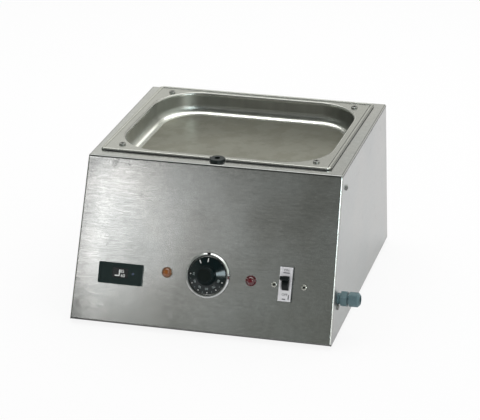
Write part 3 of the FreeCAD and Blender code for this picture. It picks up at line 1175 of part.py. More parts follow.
os.makedirs("parts", exist_ok=True)
for node in nodes:
    node.Label = node.Name
    node.Shape.exportStep("parts/%s.step" % node.Label)
    print("%-22s solids %2d volume %12.2f" % (node.Label, len(node.Shape.Solids), node.Shape.Volume))
print("nodes", len(nodes), "middle plane x", round(number(MID), 4))
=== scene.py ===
import json
import logging
import math
from dataclasses import dataclass
from enum import Enum
from typing import Any, Callable, Sequence

import bpy
import numpy as np
from mathutils import Matrix, Vector


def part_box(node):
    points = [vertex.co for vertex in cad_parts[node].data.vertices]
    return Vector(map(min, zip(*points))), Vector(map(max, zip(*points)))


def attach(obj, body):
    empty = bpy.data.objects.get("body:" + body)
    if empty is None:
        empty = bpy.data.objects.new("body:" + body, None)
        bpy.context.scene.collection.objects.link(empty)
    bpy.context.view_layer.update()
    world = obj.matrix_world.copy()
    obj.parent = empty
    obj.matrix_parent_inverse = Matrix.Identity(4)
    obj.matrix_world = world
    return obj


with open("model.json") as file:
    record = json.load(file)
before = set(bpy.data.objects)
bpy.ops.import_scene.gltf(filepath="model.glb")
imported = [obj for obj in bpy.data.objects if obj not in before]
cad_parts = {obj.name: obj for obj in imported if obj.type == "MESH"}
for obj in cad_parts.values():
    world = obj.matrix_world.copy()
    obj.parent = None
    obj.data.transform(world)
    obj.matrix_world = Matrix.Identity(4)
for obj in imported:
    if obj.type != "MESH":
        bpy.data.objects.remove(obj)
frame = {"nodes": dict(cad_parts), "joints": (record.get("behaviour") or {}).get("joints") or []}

log = logging.getLogger("wax_bath")
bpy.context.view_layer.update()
MM = 0.001
Colour = tuple[float, float, float]

# A word is its text and the place of its middle; a bar is that place, its width and its length.
Word = tuple[str, float, float]
Bar = tuple[float, float, float, float]


# Shader building


class Value:
    """A shader socket that takes part in Python arithmetic.

    Args:
        tree: The node tree that the socket is in.
        socket: The output socket.
    """

    def __init__(self, tree: bpy.types.NodeTree, socket: bpy.types.NodeSocket) -> None:
        """Keep the tree and the socket."""
        self.tree = tree
        self.socket = socket

    def _math(self, operation: str, *terms: Any) -> "Value":
        """Add a Math node whose inputs are the terms.

        Args:
            operation: The Math node's operation.
            terms: Values or plain numbers, in order.

        Returns:
            The node's result.
        """
        node = self.tree.nodes.new("ShaderNodeMath")
        node.operation = operation
        for slot, term in zip(node.inputs, terms):
            if isinstance(term, Value):
                self.tree.links.new(term.socket, slot)
            else:
                slot.default_value = float(term)
        return Value(self.tree, node.outputs[0])

    def __add__(self, other: Any) -> "Value":
        """Sum."""
        return self._math("ADD", self, other)

    __radd__ = __add__

    def __sub__(self, other: Any) -> "Value":
        """Difference."""
        return self._math("SUBTRACT", self, other)

    def __rsub__(self, other: Any) -> "Value":
        """Reflected difference."""
        return self._math("SUBTRACT", other, self)

    def __mul__(self, other: Any) -> "Value":
        """Product."""
        return self._math("MULTIPLY", self, other)

    __rmul__ = __mul__

    def __truediv__(self, other: Any) -> "Value":
        """Quotient."""
        return self._math("DIVIDE", self, other)

    def larger(self, other: Any) -> "Value":
        """The larger of the two."""
        return self._math("MAXIMUM", self, other)

    def smaller(self, other: Any) -> "Value":
        """The smaller of the two."""
        return self._math("MINIMUM", self, other)

    def magnitude(self) -> "Value":
        """The value without its sign."""
        return self._math("ABSOLUTE", self)

    def root(self) -> "Value":
        """Square root."""
        return self._math("SQRT", self)

    def step(self, low: float, high: float) -> "Value":
        """A smooth rise from 0 at low to 1 at high, or a fall where high is the smaller.

        Args:
            low: Where the result is 0.
            high: Where the result is 1.

        Returns:
            The rise, between 0 and 1.
        """
        node = self.tree.nodes.new("ShaderNodeMapRange")
        node.interpolation_type = "SMOOTHSTEP"
        self.tree.links.new(self.socket, node.inputs["Value"])
        backwards = high < low
        node.inputs["From Min"].default_value = min(low, high)
        node.inputs["From Max"].default_value = max(low, high)
        node.inputs["To Min"].default_value = 1.0 if backwards else 0.0
        node.inputs["To Max"].default_value = 0.0 if backwards else 1.0
        return Value(self.tree, node.outputs["Result"])

    def band(self, start: float, full: float, fade: float, end: float) -> "Value":
        """1 between full and fade, with a smooth rise before it and a smooth fall after it.

        Args:
            start: Where the rise starts.
            full: Where it ends.
            fade: Where the fall starts.
            end: Where it ends.

        Returns:
            The band, between 0 and 1.
        """
        return self.step(start, full) * self.step(end, fade)


class Shader:
    """A material or world under construction.

    Args:
        tree: Its node tree, emptied of nodes.
    """

    def __init__(self, tree: bpy.types.NodeTree) -> None:
        """Empty the tree."""
        tree.nodes.clear()
        self.tree = tree

    def feed(self, slot: bpy.types.NodeSocket, given: Any) -> None:
        """Link something to an input, or set the input to it.

        Args:
            slot: The input socket.
            given: A Value, an output socket or a plain value, such as a colour of three numbers.
        """
        if isinstance(given, Value):
            self.tree.links.new(given.socket, slot)
        elif isinstance(given, bpy.types.NodeSocket):
            self.tree.links.new(given, slot)
        elif slot.type == "RGBA" and len(given) == 3:
            slot.default_value = (*given, 1.0)
        else:
            slot.default_value = given

    def node(self, kind: str, settings: dict[str, Any] | None = None, **inputs: Any) -> bpy.types.Node:
        """Add a node, set it up, then give its sockets their values or links.

        Args:
            kind: The node's type without its "ShaderNode" prefix.
            settings: Properties of the node.
            inputs: Socket name, with _ for a space, to a Value, an output socket or a plain value.

        Returns:
            The node.
        """
        made = self.tree.nodes.new("ShaderNode" + kind)
        for name, setting in (settings or {}).items():
            setattr(made, name, setting)
        for name, given in inputs.items():
            self.feed(made.inputs[name.replace("_", " ")], given)
        return made

    def value(self, socket: bpy.types.NodeSocket) -> Value:
        """Wrap a socket."""
        return Value(self.tree, socket)

    def place(self, scale: Sequence[float] = (1, 1, 1), turn: Sequence[float] = (0, 0, 0),
              shift: Sequence[float] = (0, 0, 0)) -> bpy.types.NodeSocket:
        """Object coordinates in metres, shifted, turned and scaled.

        Args:
            scale: Scale along each axis.
            turn: Turn about each axis, in radians.
            shift: Shift along each axis, in metres.

        Returns:
            The vector socket.
        """
        coords = self.node("TexCoord").outputs["Object"]
        moved = self.node("Mapping", {"vector_type": "POINT"}, Vector=coords, Location=shift).outputs[0]
        turned = self.node("Mapping", {"vector_type": "POINT"}, Vector=moved, Rotation=turn).outputs[0]
        return self.node("Mapping", {"vector_type": "POINT"}, Vector=turned, Scale=scale).outputs[0]

    def parts(self, vector: bpy.types.NodeSocket) -> tuple[Value, Value, Value]:
        """The three components of a vector."""
        split = self.node("SeparateXYZ", Vector=vector)
        return tuple(self.value(out) for out in split.outputs)

    def noise(self, where: bpy.types.NodeSocket, scale: float = 1.0, detail: float = 2.0,
              roughness: float = 0.5) -> Value:
        """Smooth noise between about 0.2 and 0.8.

        Args:
            where: The vector to sample at.
            scale: Cells per unit of the vector.
            detail: Octaves.
            roughness: Strength of the finer octaves.

        Returns:
            The noise.
        """
        made = self.node("TexNoise", Vector=where, Scale=scale, Detail=detail, Roughness=roughness)
        return self.value(made.outputs["Fac"])

    def blend(self, factor: Any, first: Any, second: Any) -> bpy.types.NodeSocket:
        """Mix two colours.

        Args:
            factor: 0 for the first, 1 for the second.
            first: A colour or a colour socket.
            second: A colour or a colour socket.

        Returns:
            The colour socket.
        """
        mix = self.node("Mix", {"data_type": "RGBA"})
        for slot, given in ((mix.inputs[0], factor), (mix.inputs[6], first), (mix.inputs[7], second)):
            self.feed(slot, given)
        return mix.outputs[2]

    def shade(self, colour: Any, light: Value) -> bpy.types.NodeSocket:
        """Scale a colour by a varying number.

        Args:
            colour: A colour or a colour socket.
            light: The factor.

        Returns:
            The colour socket.
        """
        made = self.node("VectorMath", {"operation": "SCALE"}, Scale=light)
        self.feed(made.inputs[0], colour)
        return made.outputs[0]

    def bump(self, height: Value, distance: float, strength: float = 1.0,
             normal: bpy.types.NodeSocket | None = None) -> bpy.types.NodeSocket:
        """A normal bent by a height.

        Args:
            height: The height, between 0 and 1.
            distance: The real height of 1, in metres.
            strength: Share of the effect.
            normal: A normal that is already bent.

        Returns:
            The normal socket.
        """
        under = {} if normal is None else {"Normal": normal}
        bent = self.node("Bump", Height=height, Distance=distance, Strength=strength, **under)
        return bent.outputs["Normal"]

    def finish(self, **inputs: Any) -> None:
        """End the material in a Principled surface.

        Args:
            inputs: Socket name, with _ for a space, to a Value, a socket or a plain value.
        """
        self.node("OutputMaterial", Surface=self.node("BsdfPrincipled", **inputs).outputs[0])


MATERIALS: dict[str, bpy.types.Material] = {}


def new_material(name: str, colour: Colour, build: Callable[[Shader], None]) -> bpy.types.Material:
    """Make a material once.

    Args:
        name: Its name.
        colour: Its plain colour, for the viewport.
        build: Adds its nodes.

    Returns:
        The material, new or already made under that name.
    """
    if name not in MATERIALS:
        material = bpy.data.materials.new(name)
        material.use_nodes = True
        material.diffuse_color = (*colour, 1.0)
        build(Shader(material.node_tree))
        MATERIALS[name] = material
    return MATERIALS[name]


# Finishes


class Grain(Enum):
    """The direction that a sheet's grain runs in: scales of X, Y and Z across it."""

    ACROSS = (0.02, 1.0, 1.0)
    DEEP = (1.0, 0.02, 1.0)
    NONE = (1.0, 1.0, 1.0)


@dataclass(frozen=True)
class Finish:
    """A named finish: lengths are in metres, cells are counted per metre, the rest are shares."""

    name: str
    tint: Colour

    def darker(self, share: float) -> Colour:
        """The tint times a share."""
        return tuple(share * c for c in self.tint)

    def lay_out(self, s: Shader) -> None:
        """Add the finish's nodes to an empty material: each kind of finish has its own."""
        raise NotImplementedError

    def material(self) -> bpy.types.Material:
        """The finish as a material, made once."""
        return new_material(self.name, self.tint, self.lay_out)


@dataclass(frozen=True)
class SheetSteel(Finish):
    """Stainless sheet with a satin grain, faint clouds and a few rubbed marks."""

    grain: Grain = Grain.ACROSS
    rough: float = 0.33
    streak: float = 0.10
    cloud: float = 0.08
    mottle: float = 0.0
    rub: float = 0.035
    speck: float = 0.10
    relief: float = 0.008 * MM
    wave: float = 0.10 * MM
    cloud_cast: Colour = (0.97, 0.99, 1.0)

    def folds(self, s: Shader) -> Any:
        """Painted shade at the sheet's folds and edges, as the share of brightness kept: a plain sheet keeps 1.
        """
        return 1.0

    def bulge(self, s: Shader, normal: bpy.types.NodeSocket) -> bpy.types.NodeSocket:
        """The normal on a sheet that bulges a little between its folds: a plain sheet is flat."""
        return normal

    def lay_out(self, s: Shader) -> None:
        """The tint times a level that grain, clouds, mottle, rubbed marks, specks and the painted shade at
        folds change.

        Args:
            s: The material under construction.
        """
        fine = s.noise(s.place(self.grain.value), 2600.0, 3.0, 0.6)
        wide = s.noise(s.place(self.grain.value), 480.0, 2.0, 0.6)
        coarse = s.noise(s.place((0.45, 1.0, 1.0), shift=(0.11, 0.4, 0.2)), 300.0, 3.0, 0.7)
        close = s.noise(s.place((0.7, 1.0, 1.0), shift=(0.5, 0.1, 0.3)), 800.0, 2.0, 0.6)
        patch = 0.5 * coarse + 0.5 * close
        soft = s.noise(s.place(), 11.0, 3.0, 0.55)
        rubbed = s.noise(s.place(shift=(0.31, 0.17, 0.05)), 46.0, 4.0, 0.7).step(0.60, 0.74)
        specks = s.noise(s.place(), 700.0, 1.0).step(0.735, 0.78)
        level = 1.0 + self.streak * ((fine - 0.5) + 0.7 * (wide - 0.5)) + self.cloud * (soft - 0.5)
        level = level - self.rub * rubbed - self.speck * specks + self.mottle * (patch - 0.5)
        cloudy = tuple(c * k for c, k in zip(self.tint, self.cloud_cast))
        tone = s.blend(soft.step(0.35, 0.65), self.tint, cloudy)
        rough = self.rough + 0.16 * (fine - 0.5) + 0.12 * (soft - 0.5) + 0.06 * rubbed
        sway = s.noise(s.place((1.0, 0.6, 0.6), shift=(0.07, 0.02, 0.0)), 15.0, 2.0, 0.4)
        normal = s.bump(fine, self.relief, 0.55, self.bulge(s, s.bump(sway, self.wave)))
        # painted shade: the folds darken the colour
        colour = s.shade(tone, level * self.folds(s))
        s.finish(Base_Color=colour, Metallic=1.0, Roughness=rough, Normal=normal)


@dataclass(frozen=True)
class FoldedSteel(SheetSteel):
    """Sheet with painted shade along its folds and down its left margin, and a slight bow: places are in metres
    in the row frame.
    """

    mid: float = 0.0
    top: float = 0.0
    half_top: float = 0.0
    lean: float = 0.0
    bend_y: float = 0.0
    foot_y: float = 0.0
    foot_z: float = 0.0
    bow: float = 0.8 * MM
    # shares of painted shade at the bend, the side folds, the foot fold and the left margin
    bend_dark: float = 0.58
    side_dark: float = 0.56
    foot_dark: float = 0.80
    margin_dark: float = 0.45
    fold_reach: float = 2.3 * MM
    foot_reach: float = 3.0 * MM

    def bulge(self, s: Shader, normal: bpy.types.NodeSocket) -> bpy.types.NodeSocket:
        """The raked front stands out by the bow at mid height, less with the square of the way to a fold.

        Args:
            s: The material under construction.
            normal: The normal that the finer waves have bent.

        Returns:
            The normal socket.
        """
        z = s.parts(s.place())[2]
        half = (self.top - self.foot_z) / 2
        way = (z - (self.foot_z + half)) / half
        return s.bump(1.0 - way * way, self.bow, 1.0, normal)

    @staticmethod
    def near(first: Value, second: Value, reach: float) -> Value:
        """1 close to the line where two planes meet: the distance is the root of the two squared ones.

        Args:
            first: Distance from one plane.
            second: Distance from the other.
            reach: Distance over which the result falls to 0.

        Returns:
            The nearness, between 0 and 1.
        """
        return (first * first + second * second).root().step(reach * 1.3, reach * 0.85)

    def folds(self, s: Shader) -> Value:
        """Painted shade near a sharp fold line, and down the front's left margin.

        The lines are the front bend, the two side folds of the top and the fold at the foot. The margin fades
        out over 36 mm from just outside the left fold and starts 3 to 5 mm below the top.

        Args:
            s: The material under construction.

        Returns:
            The share of the level that is kept.
        """
        x, y, z = s.parts(s.place())
        below = self.top - z
        aside = self.half_top + below * self.lean - (x - self.mid).magnitude()
        # painted shade along the front bend, the top's side folds and the foot fold, and down the left margin
        bend = self.bend_dark * self.near(y - self.bend_y, below, self.fold_reach)
        side = self.side_dark * self.near(aside, below, self.fold_reach)
        foot = self.foot_dark * self.near(y - self.foot_y, z - self.foot_z, self.foot_reach)
        from_left = x - (self.mid - self.half_top - 5.0 * MM)
        margin = self.margin_dark * from_left.step(36.0 * MM, 0.0) * below.step(3.0 * MM, 5.0 * MM)
        return (1.0 - bend.larger(side).larger(foot)) * (1.0 - margin)


@dataclass(frozen=True)
class EdgedSteel(SheetSteel):
    """Sheet that tucks in behind a raked fold, with painted shade of the gap along its edge."""

    rake: float = 0.0
    foot_y: float = 0.0
    foot_z: float = 0.0
    edge: float = 2.6 * MM
    edge_dark: float = 0.5

    def folds(self, s: Shader) -> Value:
        """Painted shade next to the raked edge, where the gap is: the distance from the rake's plane is y cos
        rake less z sin rake.

        Args:
            s: The material under construction.

        Returns:
            The share of the level that is kept.
        """
        y, z = s.parts(s.place())[1:]
        behind = (y - self.foot_y) * math.cos(self.rake) - (z - self.foot_z) * math.sin(self.rake)
        # painted shade of the gap beside the raked edge
        return 1.0 - self.edge_dark * behind.step(self.edge + 1.5 * MM, self.edge + 0.5 * MM)


@dataclass(frozen=True)
class DrawnSteel(Finish):
    """Deep drawn stainless: smoother, with long draw lines, painted shade inside the well and along the crease
    inside its bead, a painted highlight on the hem, and wax on the floor.
    """

    floor: float
    centre: tuple[float, float, float]
    half_wide: float
    half_long: float
    twist: float
    rough: float = 0.22
    wax: Colour = (0.238, 0.235, 0.194)
    # crease_in and crease_half place a painted shade line; crease_dark, bead_dark, rim_dark and corner_dark are
    # shares of painted shade
    crease_in: float = 5.3 * MM
    crease_half: float = 0.6 * MM
    crease_dark: float = 0.68
    bead_dark: float = 0.12
    rim_dark: float = 0.4
    corner_dark: float = 0.5

    def on_flange(self, s: Shader) -> tuple[Value, Value]:
        """Places across and along the flange, from its middle on its own axes."""
        shift = (-self.centre[0], -self.centre[1], 0.0)
        return s.parts(s.place(turn=(0.0, 0.0, self.twist), shift=shift))[:2]

    def crease(self, x: Value, y: Value) -> Value:
        """Painted shade: the dark line inside the bead, stronger at the right, and the dark edge at the
        flange's right end.

        The line is where the smaller distance from the flange's edges is crease_in.

        Args:
            x: Place across the flange.
            y: Place along it.

        Returns:
            The darkness, between 0 and 1.
        """
        inward = (self.half_wide - x.magnitude()).smaller(self.half_long - y.magnitude())
        away = (inward - self.crease_in).magnitude()
        line = away.step(self.crease_half * 1.5, self.crease_half * 0.7) * (0.25 + 0.75 * x.step(-0.10, 0.03))
        # painted shade of the gap at the flange's right edge
        return line.larger((self.half_wide - x).step(1.4 * MM, 0.8 * MM))

    def painted_corner_shade(self, x: Value, y: Value) -> Value:
        """Painted shade in the back right corner of the well."""
        right = x.step(self.half_wide - 75.0 * MM, self.half_wide - 55.0 * MM)
        return right * y.step(self.half_long - 75.0 * MM, self.half_long - 50.0 * MM)

    def lay_out(self, s: Shader) -> None:
        """Bands by the height above the floor: wax film, hem, drawn wall and rim.

        The film is what wax leaves on the floor, the hem is the round foot of the wall, and the rim is the
        round edge where the wall turns into the flange. The hem is lightened as a painted highlight, and the
        inside of the well, the rim, the back bead, the crease line and the back right corner are darkened as
        painted shade.

        Args:
            s: The material under construction.
        """
        fine = s.noise(s.place(Grain.ACROSS.value), 2200.0, 2.0, 0.6)
        soft = s.noise(s.place(), 14.0, 3.0, 0.6)
        blot = s.noise(s.place(shift=(0.4, 0.2, 0.1)), 38.0, 4.0, 0.65)
        drawn = s.noise(s.place((1.0, 1.0, 0.04)), 85.0, 2.0, 0.5)
        height = s.parts(s.place())[2] - self.floor
        film = height.step(0.35 * MM, 0.08 * MM) * (0.94 + 0.06 * blot.step(0.42, 0.60))
        hem = height.step(4.4 * MM, 2.4 * MM)
        inside = height.step(28.0 * MM, 25.0 * MM)
        wall = inside * (1.0 - hem)
        rim = height.band(28.0 * MM, 28.7 * MM, 29.75 * MM, 30.0 * MM)
        x, y = self.on_flange(s)
        back_bead = y.step(self.half_long - 6.5 * MM, self.half_long - 5.0 * MM)
        # painted shade inside the well, varied by the draw lines, and a painted highlight on the hem; then
        # painted shade on the crease line, the back bead, the rim and the back right corner
        level = 1.0 + 0.08 * (fine - 0.5) + 0.10 * (soft - 0.5) - (0.32 + 0.20 * (drawn - 0.5)) * inside
        level = (level + 0.85 * hem) * (1.0 - self.crease_dark * self.crease(x, y))
        level = level * (1.0 - self.bead_dark * back_bead) * (1.0 - self.rim_dark * rim)
        level = level * (1.0 - self.corner_dark * self.painted_corner_shade(x, y) * wall)
        rough = self.rough + 0.10 * (fine - 0.5) + 0.14 * (soft - 0.5) + 0.16 * film
        rough = rough + 0.12 * wall + 0.4 * back_bead + 0.15 * rim
        normal = s.bump(fine, 0.004 * MM, 0.4, s.bump(drawn * inside, 0.2 * MM, 0.6))
        s.finish(Base_Color=s.blend(film, s.shade(self.tint, level), self.wax), Metallic=1.0, Roughness=rough,
                 Normal=normal)


@dataclass(frozen=True)
class Plated(Finish):
    """Plated or polished metal with fine turning lines and a few dull spots."""

    rough: float = 0.12
    dull: float = 0.15
    cells: float = 900.0

    def recess(self, s: Shader) -> Any:
        """Painted shade where the plating is in a recess, as a share: plain plating has none."""
        return 0.0

    def lay_out(self, s: Shader) -> None:
        """The tint, greyer and rougher in the dull spots, and near black where shade in a recess is painted.

        Args:
            s: The material under construction.
        """
        fine = s.noise(s.place(), self.cells, 3.0, 0.6)
        spots = s.noise(s.place(shift=(0.2, 0.6, 0.3)), self.cells / 5, 3.0, 0.65).step(0.52, 0.70)
        colour = s.blend(spots * self.dull, self.tint, self.darker(0.72))
        # painted shade: near black in a recess
        colour = s.blend(self.recess(s), colour, (0.015, 0.015, 0.015))
        rough = self.rough + 0.08 * (fine - 0.5) + self.dull * 0.8 * spots
        s.finish(Base_Color=colour, Metallic=1.0, Roughness=rough, Normal=s.bump(fine, 0.01 * MM, 0.25))


@dataclass(frozen=True)
class ScrewPlated(Plated):
    """Plating on a pair of screws, with painted shade in the recess of each head."""

    centre: tuple[float, float, float] = (0.0, 0.0, 0.0)
    half_pitch: float = 0.0
    rise: tuple[float, float, float] = (0.0, 0.0, 1.0)
    radius: float = 1.5 * MM

    def recess(self, s: Shader) -> Value:
        """Painted shade within the radius of either screw's axis: across it and up the slope.

        Args:
            s: The material under construction.

        Returns:
            The darkness, between 0 and 1.
        """
        x, y, z = s.parts(s.place(shift=tuple(-c for c in self.centre)))
        across = x.magnitude() - self.half_pitch
        up = self.rise[1] * y + self.rise[2] * z
        return (across * across + up * up).root().step(self.radius * 1.25, self.radius * 0.8)


@dataclass(frozen=True)
class Moulded(Finish):
    """Moulded plastic or rubber: a fine skin, a soft change of tone and a little dust."""

    rough: float = 0.4
    skin: float = 0.02 * MM
    cells: float = 2600.0
    dust: float = 0.05
    coat: float = 0.0
    gloss: float = 0.5
    dust_tint: Colour = (0.42, 0.41, 0.38)

    def painted_gap_shade(self, s: Shader) -> Any:
        """Painted shade where the moulding stands beside a gap, as a share: a plain moulding has none."""
        return 0.0

    def lay_out(self, s: Shader) -> None:
        """The tint with a soft change of tone, dust over it, and near black where the shade of a gap is
        painted.

        Args:
            s: The material under construction.
        """
        skin = s.noise(s.place(), self.cells, 2.0, 0.5)
        soft = s.noise(s.place(), 60.0, 3.0, 0.6)
        dusty = s.noise(s.place(shift=(0.1, 0.5, 0.9)), 420.0, 3.0, 0.7).step(0.50, 0.72)
        base = s.shade(self.tint, 1.0 + 0.14 * (soft - 0.5) + 0.06 * (skin - 0.5))
        colour = s.blend(dusty * self.dust, base, self.dust_tint)
        # painted shade: near black beside a gap
        colour = s.blend(self.painted_gap_shade(s), colour, self.darker(0.06))
        rough = self.rough + 0.10 * (soft - 0.5) + 0.25 * self.dust * dusty
        s.finish(Base_Color=colour, Roughness=rough, Normal=s.bump(skin, self.skin, 0.6),
                 Coat_Weight=self.coat, Coat_Roughness=0.08, Specular_IOR_Level=self.gloss)


@dataclass(frozen=True)
class GappedMoulding(Moulded):
    """A moulding whose right-hand side stands in a gap, with painted shade there."""

    side: float = 0.0

    def painted_gap_shade(self, s: Shader) -> Value:
        """Painted shade from just short of the side."""
        return s.parts(s.place())[0].step(self.side - 0.45 * MM, self.side - 0.30 * MM)


@dataclass(frozen=True)
class Jewel(Finish):
    """A tinted lamp lens with small facets inside and a warm heart."""

    heart: Colour
    centre: tuple[float, float, float]
    glow: float = 0.05
    radius: float = 5.2 * MM
    dome_radius: float = 6.3 * MM
    dome_height: float = 2.0 * MM

    def lay_out(self, s: Shader) -> None:
        """From the heart to the tint with the distance from the centre. The dome falls with its square.

        Args:
            s: The material under construction.
        """
        cells = s.node("TexVoronoi", {"feature": "F1"}, Vector=s.place(), Scale=620.0)
        facet = s.value(cells.outputs["Distance"])
        x, y, z = s.parts(s.place(shift=tuple(-c for c in self.centre)))
        square = x * x + y * y + z * z
        reach = square.root() / self.radius
        dome = 1.0 - square / self.dome_radius ** 2
        warm = s.blend(reach.step(0.2, 1.0) * 0.75 + 0.35 * facet, self.heart, self.tint)
        s.finish(Base_Color=warm, Roughness=0.05 + 0.04 * facet, IOR=1.55, Specular_IOR_Level=0.8,
                 Emission_Color=warm, Emission_Strength=self.glow,
                 Normal=s.bump(dome, self.dome_height, 1.0, s.bump(facet, 0.1 * MM, 0.1)))


@dataclass(frozen=True)
class Printed(Finish):
    """Printed or filled marks, slightly worn."""

    wear: float = 0.25

    def lay_out(self, s: Shader) -> None:
        """The tint, darker and rougher where it is worn.

        Args:
            s: The material under construction.
        """
        worn = s.noise(s.place(), 2400.0, 2.0, 0.6).step(0.50, 0.72)
        colour = s.blend(worn * self.wear, self.tint, self.darker(0.55))
        s.finish(Base_Color=colour, Roughness=0.45 + 0.2 * worn)


@dataclass(frozen=True)
class Fibre(Finish):
    """Pale mineral fibre board."""

    def lay_out(self, s: Shader) -> None:
        """The tint, darker between the strands.

        Args:
            s: The material under construction.
        """
        strand = s.noise(s.place((1.0, 0.3, 1.0), (0.0, 0.0, 0.5)), 900.0, 5.0, 0.75)
        clump = s.noise(s.place(), 120.0, 3.0, 0.6)
        colour = s.blend(strand.step(0.38, 0.62) * 0.6 + 0.4 * clump, self.darker(0.62), self.tint)
        s.finish(Base_Color=colour, Roughness=0.92 + 0.05 * clump, Normal=s.bump(strand, 0.4 * MM, 0.8))


# Meshes

# A capital's height as a share of the font's size, the points round a slab, and the power that squares it.
CAPITAL_SHARE = 0.7
OUTLINE_POINTS = 32
SQUARING = 0.28


def add_piece(name: str, points: np.ndarray, faces: Sequence[Sequence[int]], finish: Finish, body: str) -> None:
    """Put a new flat shaded piece into the scene.

    Args:
        name: The piece's name.
        points: Its points in the row frame, in metres, one per row.
        faces: Its faces, counter-clockwise from outside.
        finish: Its finish.
        body: The body that carries it.
    """
    mesh = bpy.data.meshes.new(name)
    mesh.from_pydata(np.asarray(points, float).tolist(), [], [list(map(int, f)) for f in faces])
    mesh.polygons.foreach_set("use_smooth", np.zeros(len(mesh.polygons), bool))
    mesh.materials.append(finish.material())
    mesh.update()
    thing = bpy.data.objects.new(name, mesh)
    bpy.context.scene.collection.objects.link(thing)
    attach(thing, body)
    log.info("piece %s rides on %s with %d faces", name, body, len(mesh.polygons))


def ring_faces(rows: int, columns: int) -> np.ndarray:
    """Quads that join rings of points, each closed on itself.

    Args:
        rows: Rings.
        columns: Points in each ring.

    Returns:
        One quad of point numbers per row.
    """
    a, b = np.meshgrid(np.arange(rows - 1), np.arange(columns), indexing="ij")
    right, down = (b + 1) % columns, a + 1
    quads = [a * columns + b, a * columns + right, down * columns + right, down * columns + b]
    return np.stack(quads, axis=-1).reshape(-1, 4)


def slab(width: float, length: float, thick: float, rings: int = 3) -> tuple[np.ndarray, np.ndarray]:
    """A thin pad with a softened top edge, on the local XY plane.

    Its outline is cos t across and sin t along, each raised to the power that squares a circle. Each ring
    repeats the outline, drawn in by 1 - cos a and raised by sin a of the softening.

    Args:
        width: Size along X.
        length: Size along Y.
        thick: Size along Z.
        rings: Rings over the softened edge.

    Returns:
        Points and faces, closed above and below.
    """
    turn = np.linspace(0.0, 2 * math.pi, OUTLINE_POINTS, endpoint=False) + math.pi / OUTLINE_POINTS
    across = np.sign(np.cos(turn)) * np.abs(np.cos(turn)) ** SQUARING
    along = np.sign(np.sin(turn)) * np.abs(np.sin(turn)) ** SQUARING
    angle = np.linspace(0.0, math.pi / 2, rings)
    soft = min(thick, width / 4, length / 4)
    inset = np.concatenate([[0.0], soft * (1 - np.cos(angle))])
    height = np.concatenate([[0.0], thick - soft + soft * np.sin(angle)])
    x = (width / 2 - inset)[:, None] * across[None, :]
    y = (length / 2 - inset)[:, None] * along[None, :]
    z = np.repeat(height[:, None], len(turn), axis=1)
    points = np.stack([x, y, z], axis=-1).reshape(-1, 3)
    faces = ring_faces(len(height), len(turn)).tolist()
    faces.append(list(range(len(turn)))[::-1])
    faces.append(list(range(len(points) - len(turn), len(points))))
    return points, faces


def lettering(words: str, height: float, thick: float) -> tuple[np.ndarray, list[list[int]]]:
    """Words as a flat raised mesh, centred on the local origin.

    Args:
        words: The text.
        height: Height of a capital, in metres.
        thick: Thickness, in metres.

    Returns:
        Points and faces.
    """
    curve = bpy.data.curves.new("words", "FONT")
    curve.body = words
    curve.size = height / CAPITAL_SHARE
    curve.align_x = "CENTER"
    curve.align_y = "CENTER"
    curve.extrude = thick / 2
    curve.resolution_u = 3
    thing = bpy.data.objects.new("words", curve)
    bpy.context.scene.collection.objects.link(thing)
    bpy.context.view_layer.update()
    mesh = bpy.data.meshes.new_from_object(thing.evaluated_get(bpy.context.evaluated_depsgraph_get()))
    points = np.empty(len(mesh.vertices) * 3)
    mesh.vertices.foreach_get("co", points)
    faces = [list(p.vertices) for p in mesh.polygons]
    bpy.data.objects.remove(thing)
    bpy.data.curves.remove(curve)
    bpy.data.meshes.remove(mesh)
    points = points.reshape(-1, 3)
    points[:, 2] += thick / 2
    return points, faces


def join_parts(parts: Sequence[tuple[np.ndarray, Sequence[Sequence[int]]]]
               ) -> tuple[np.ndarray, list[list[int]]]:
    """Several point and face sets as one.

    Args:
        parts: The sets.

    Returns:
        All points, and all faces with their numbers moved along.
    """
    points, faces, start = [], [], 0
    for some, around in parts:
        points.append(some)
        faces += [[int(k) + start for k in face] for face in around]
        start += len(some)
    return np.concatenate(points), faces


def flat_marks(words: Sequence[Word], height: float, bars: Sequence[Bar],
               thick: float) -> tuple[np.ndarray, list[list[int]]]:
    """Words and bars printed on a flat face, all given in millimetres.

    Args:
        words: Each word with the place of its middle.
        height: Height of a capital.
        bars: The place of each bar's middle, its width and its length.
        thick: Thickness of the print.

    Returns:
        Points in metres, and faces.
    """
    parts = []
    for word, x, y in words:
        points, faces = lettering(word, height * MM, thick * MM)
        parts.append((points + np.array([x * MM, y * MM, 0.0]), faces))
    for x, y, wide, long in bars:
        points, faces = slab(wide * MM, long * MM, thick * MM)
        parts.append((points + np.array([x * MM, y * MM, 0.0]), faces))
    return join_parts(parts)


def dress(finish: Finish, *nodes: str) -> None:
    """Give nodes of the frame a finish.

    Args:
        finish: The finish.
        nodes: The nodes' names.
    """
    material = finish.material()
    for name in nodes:
        slots = frame["nodes"][name].data.materials
        slots.clear()
        slots.append(material)
        log.info("node %s wears %s", name, material.name)


# The raked panel


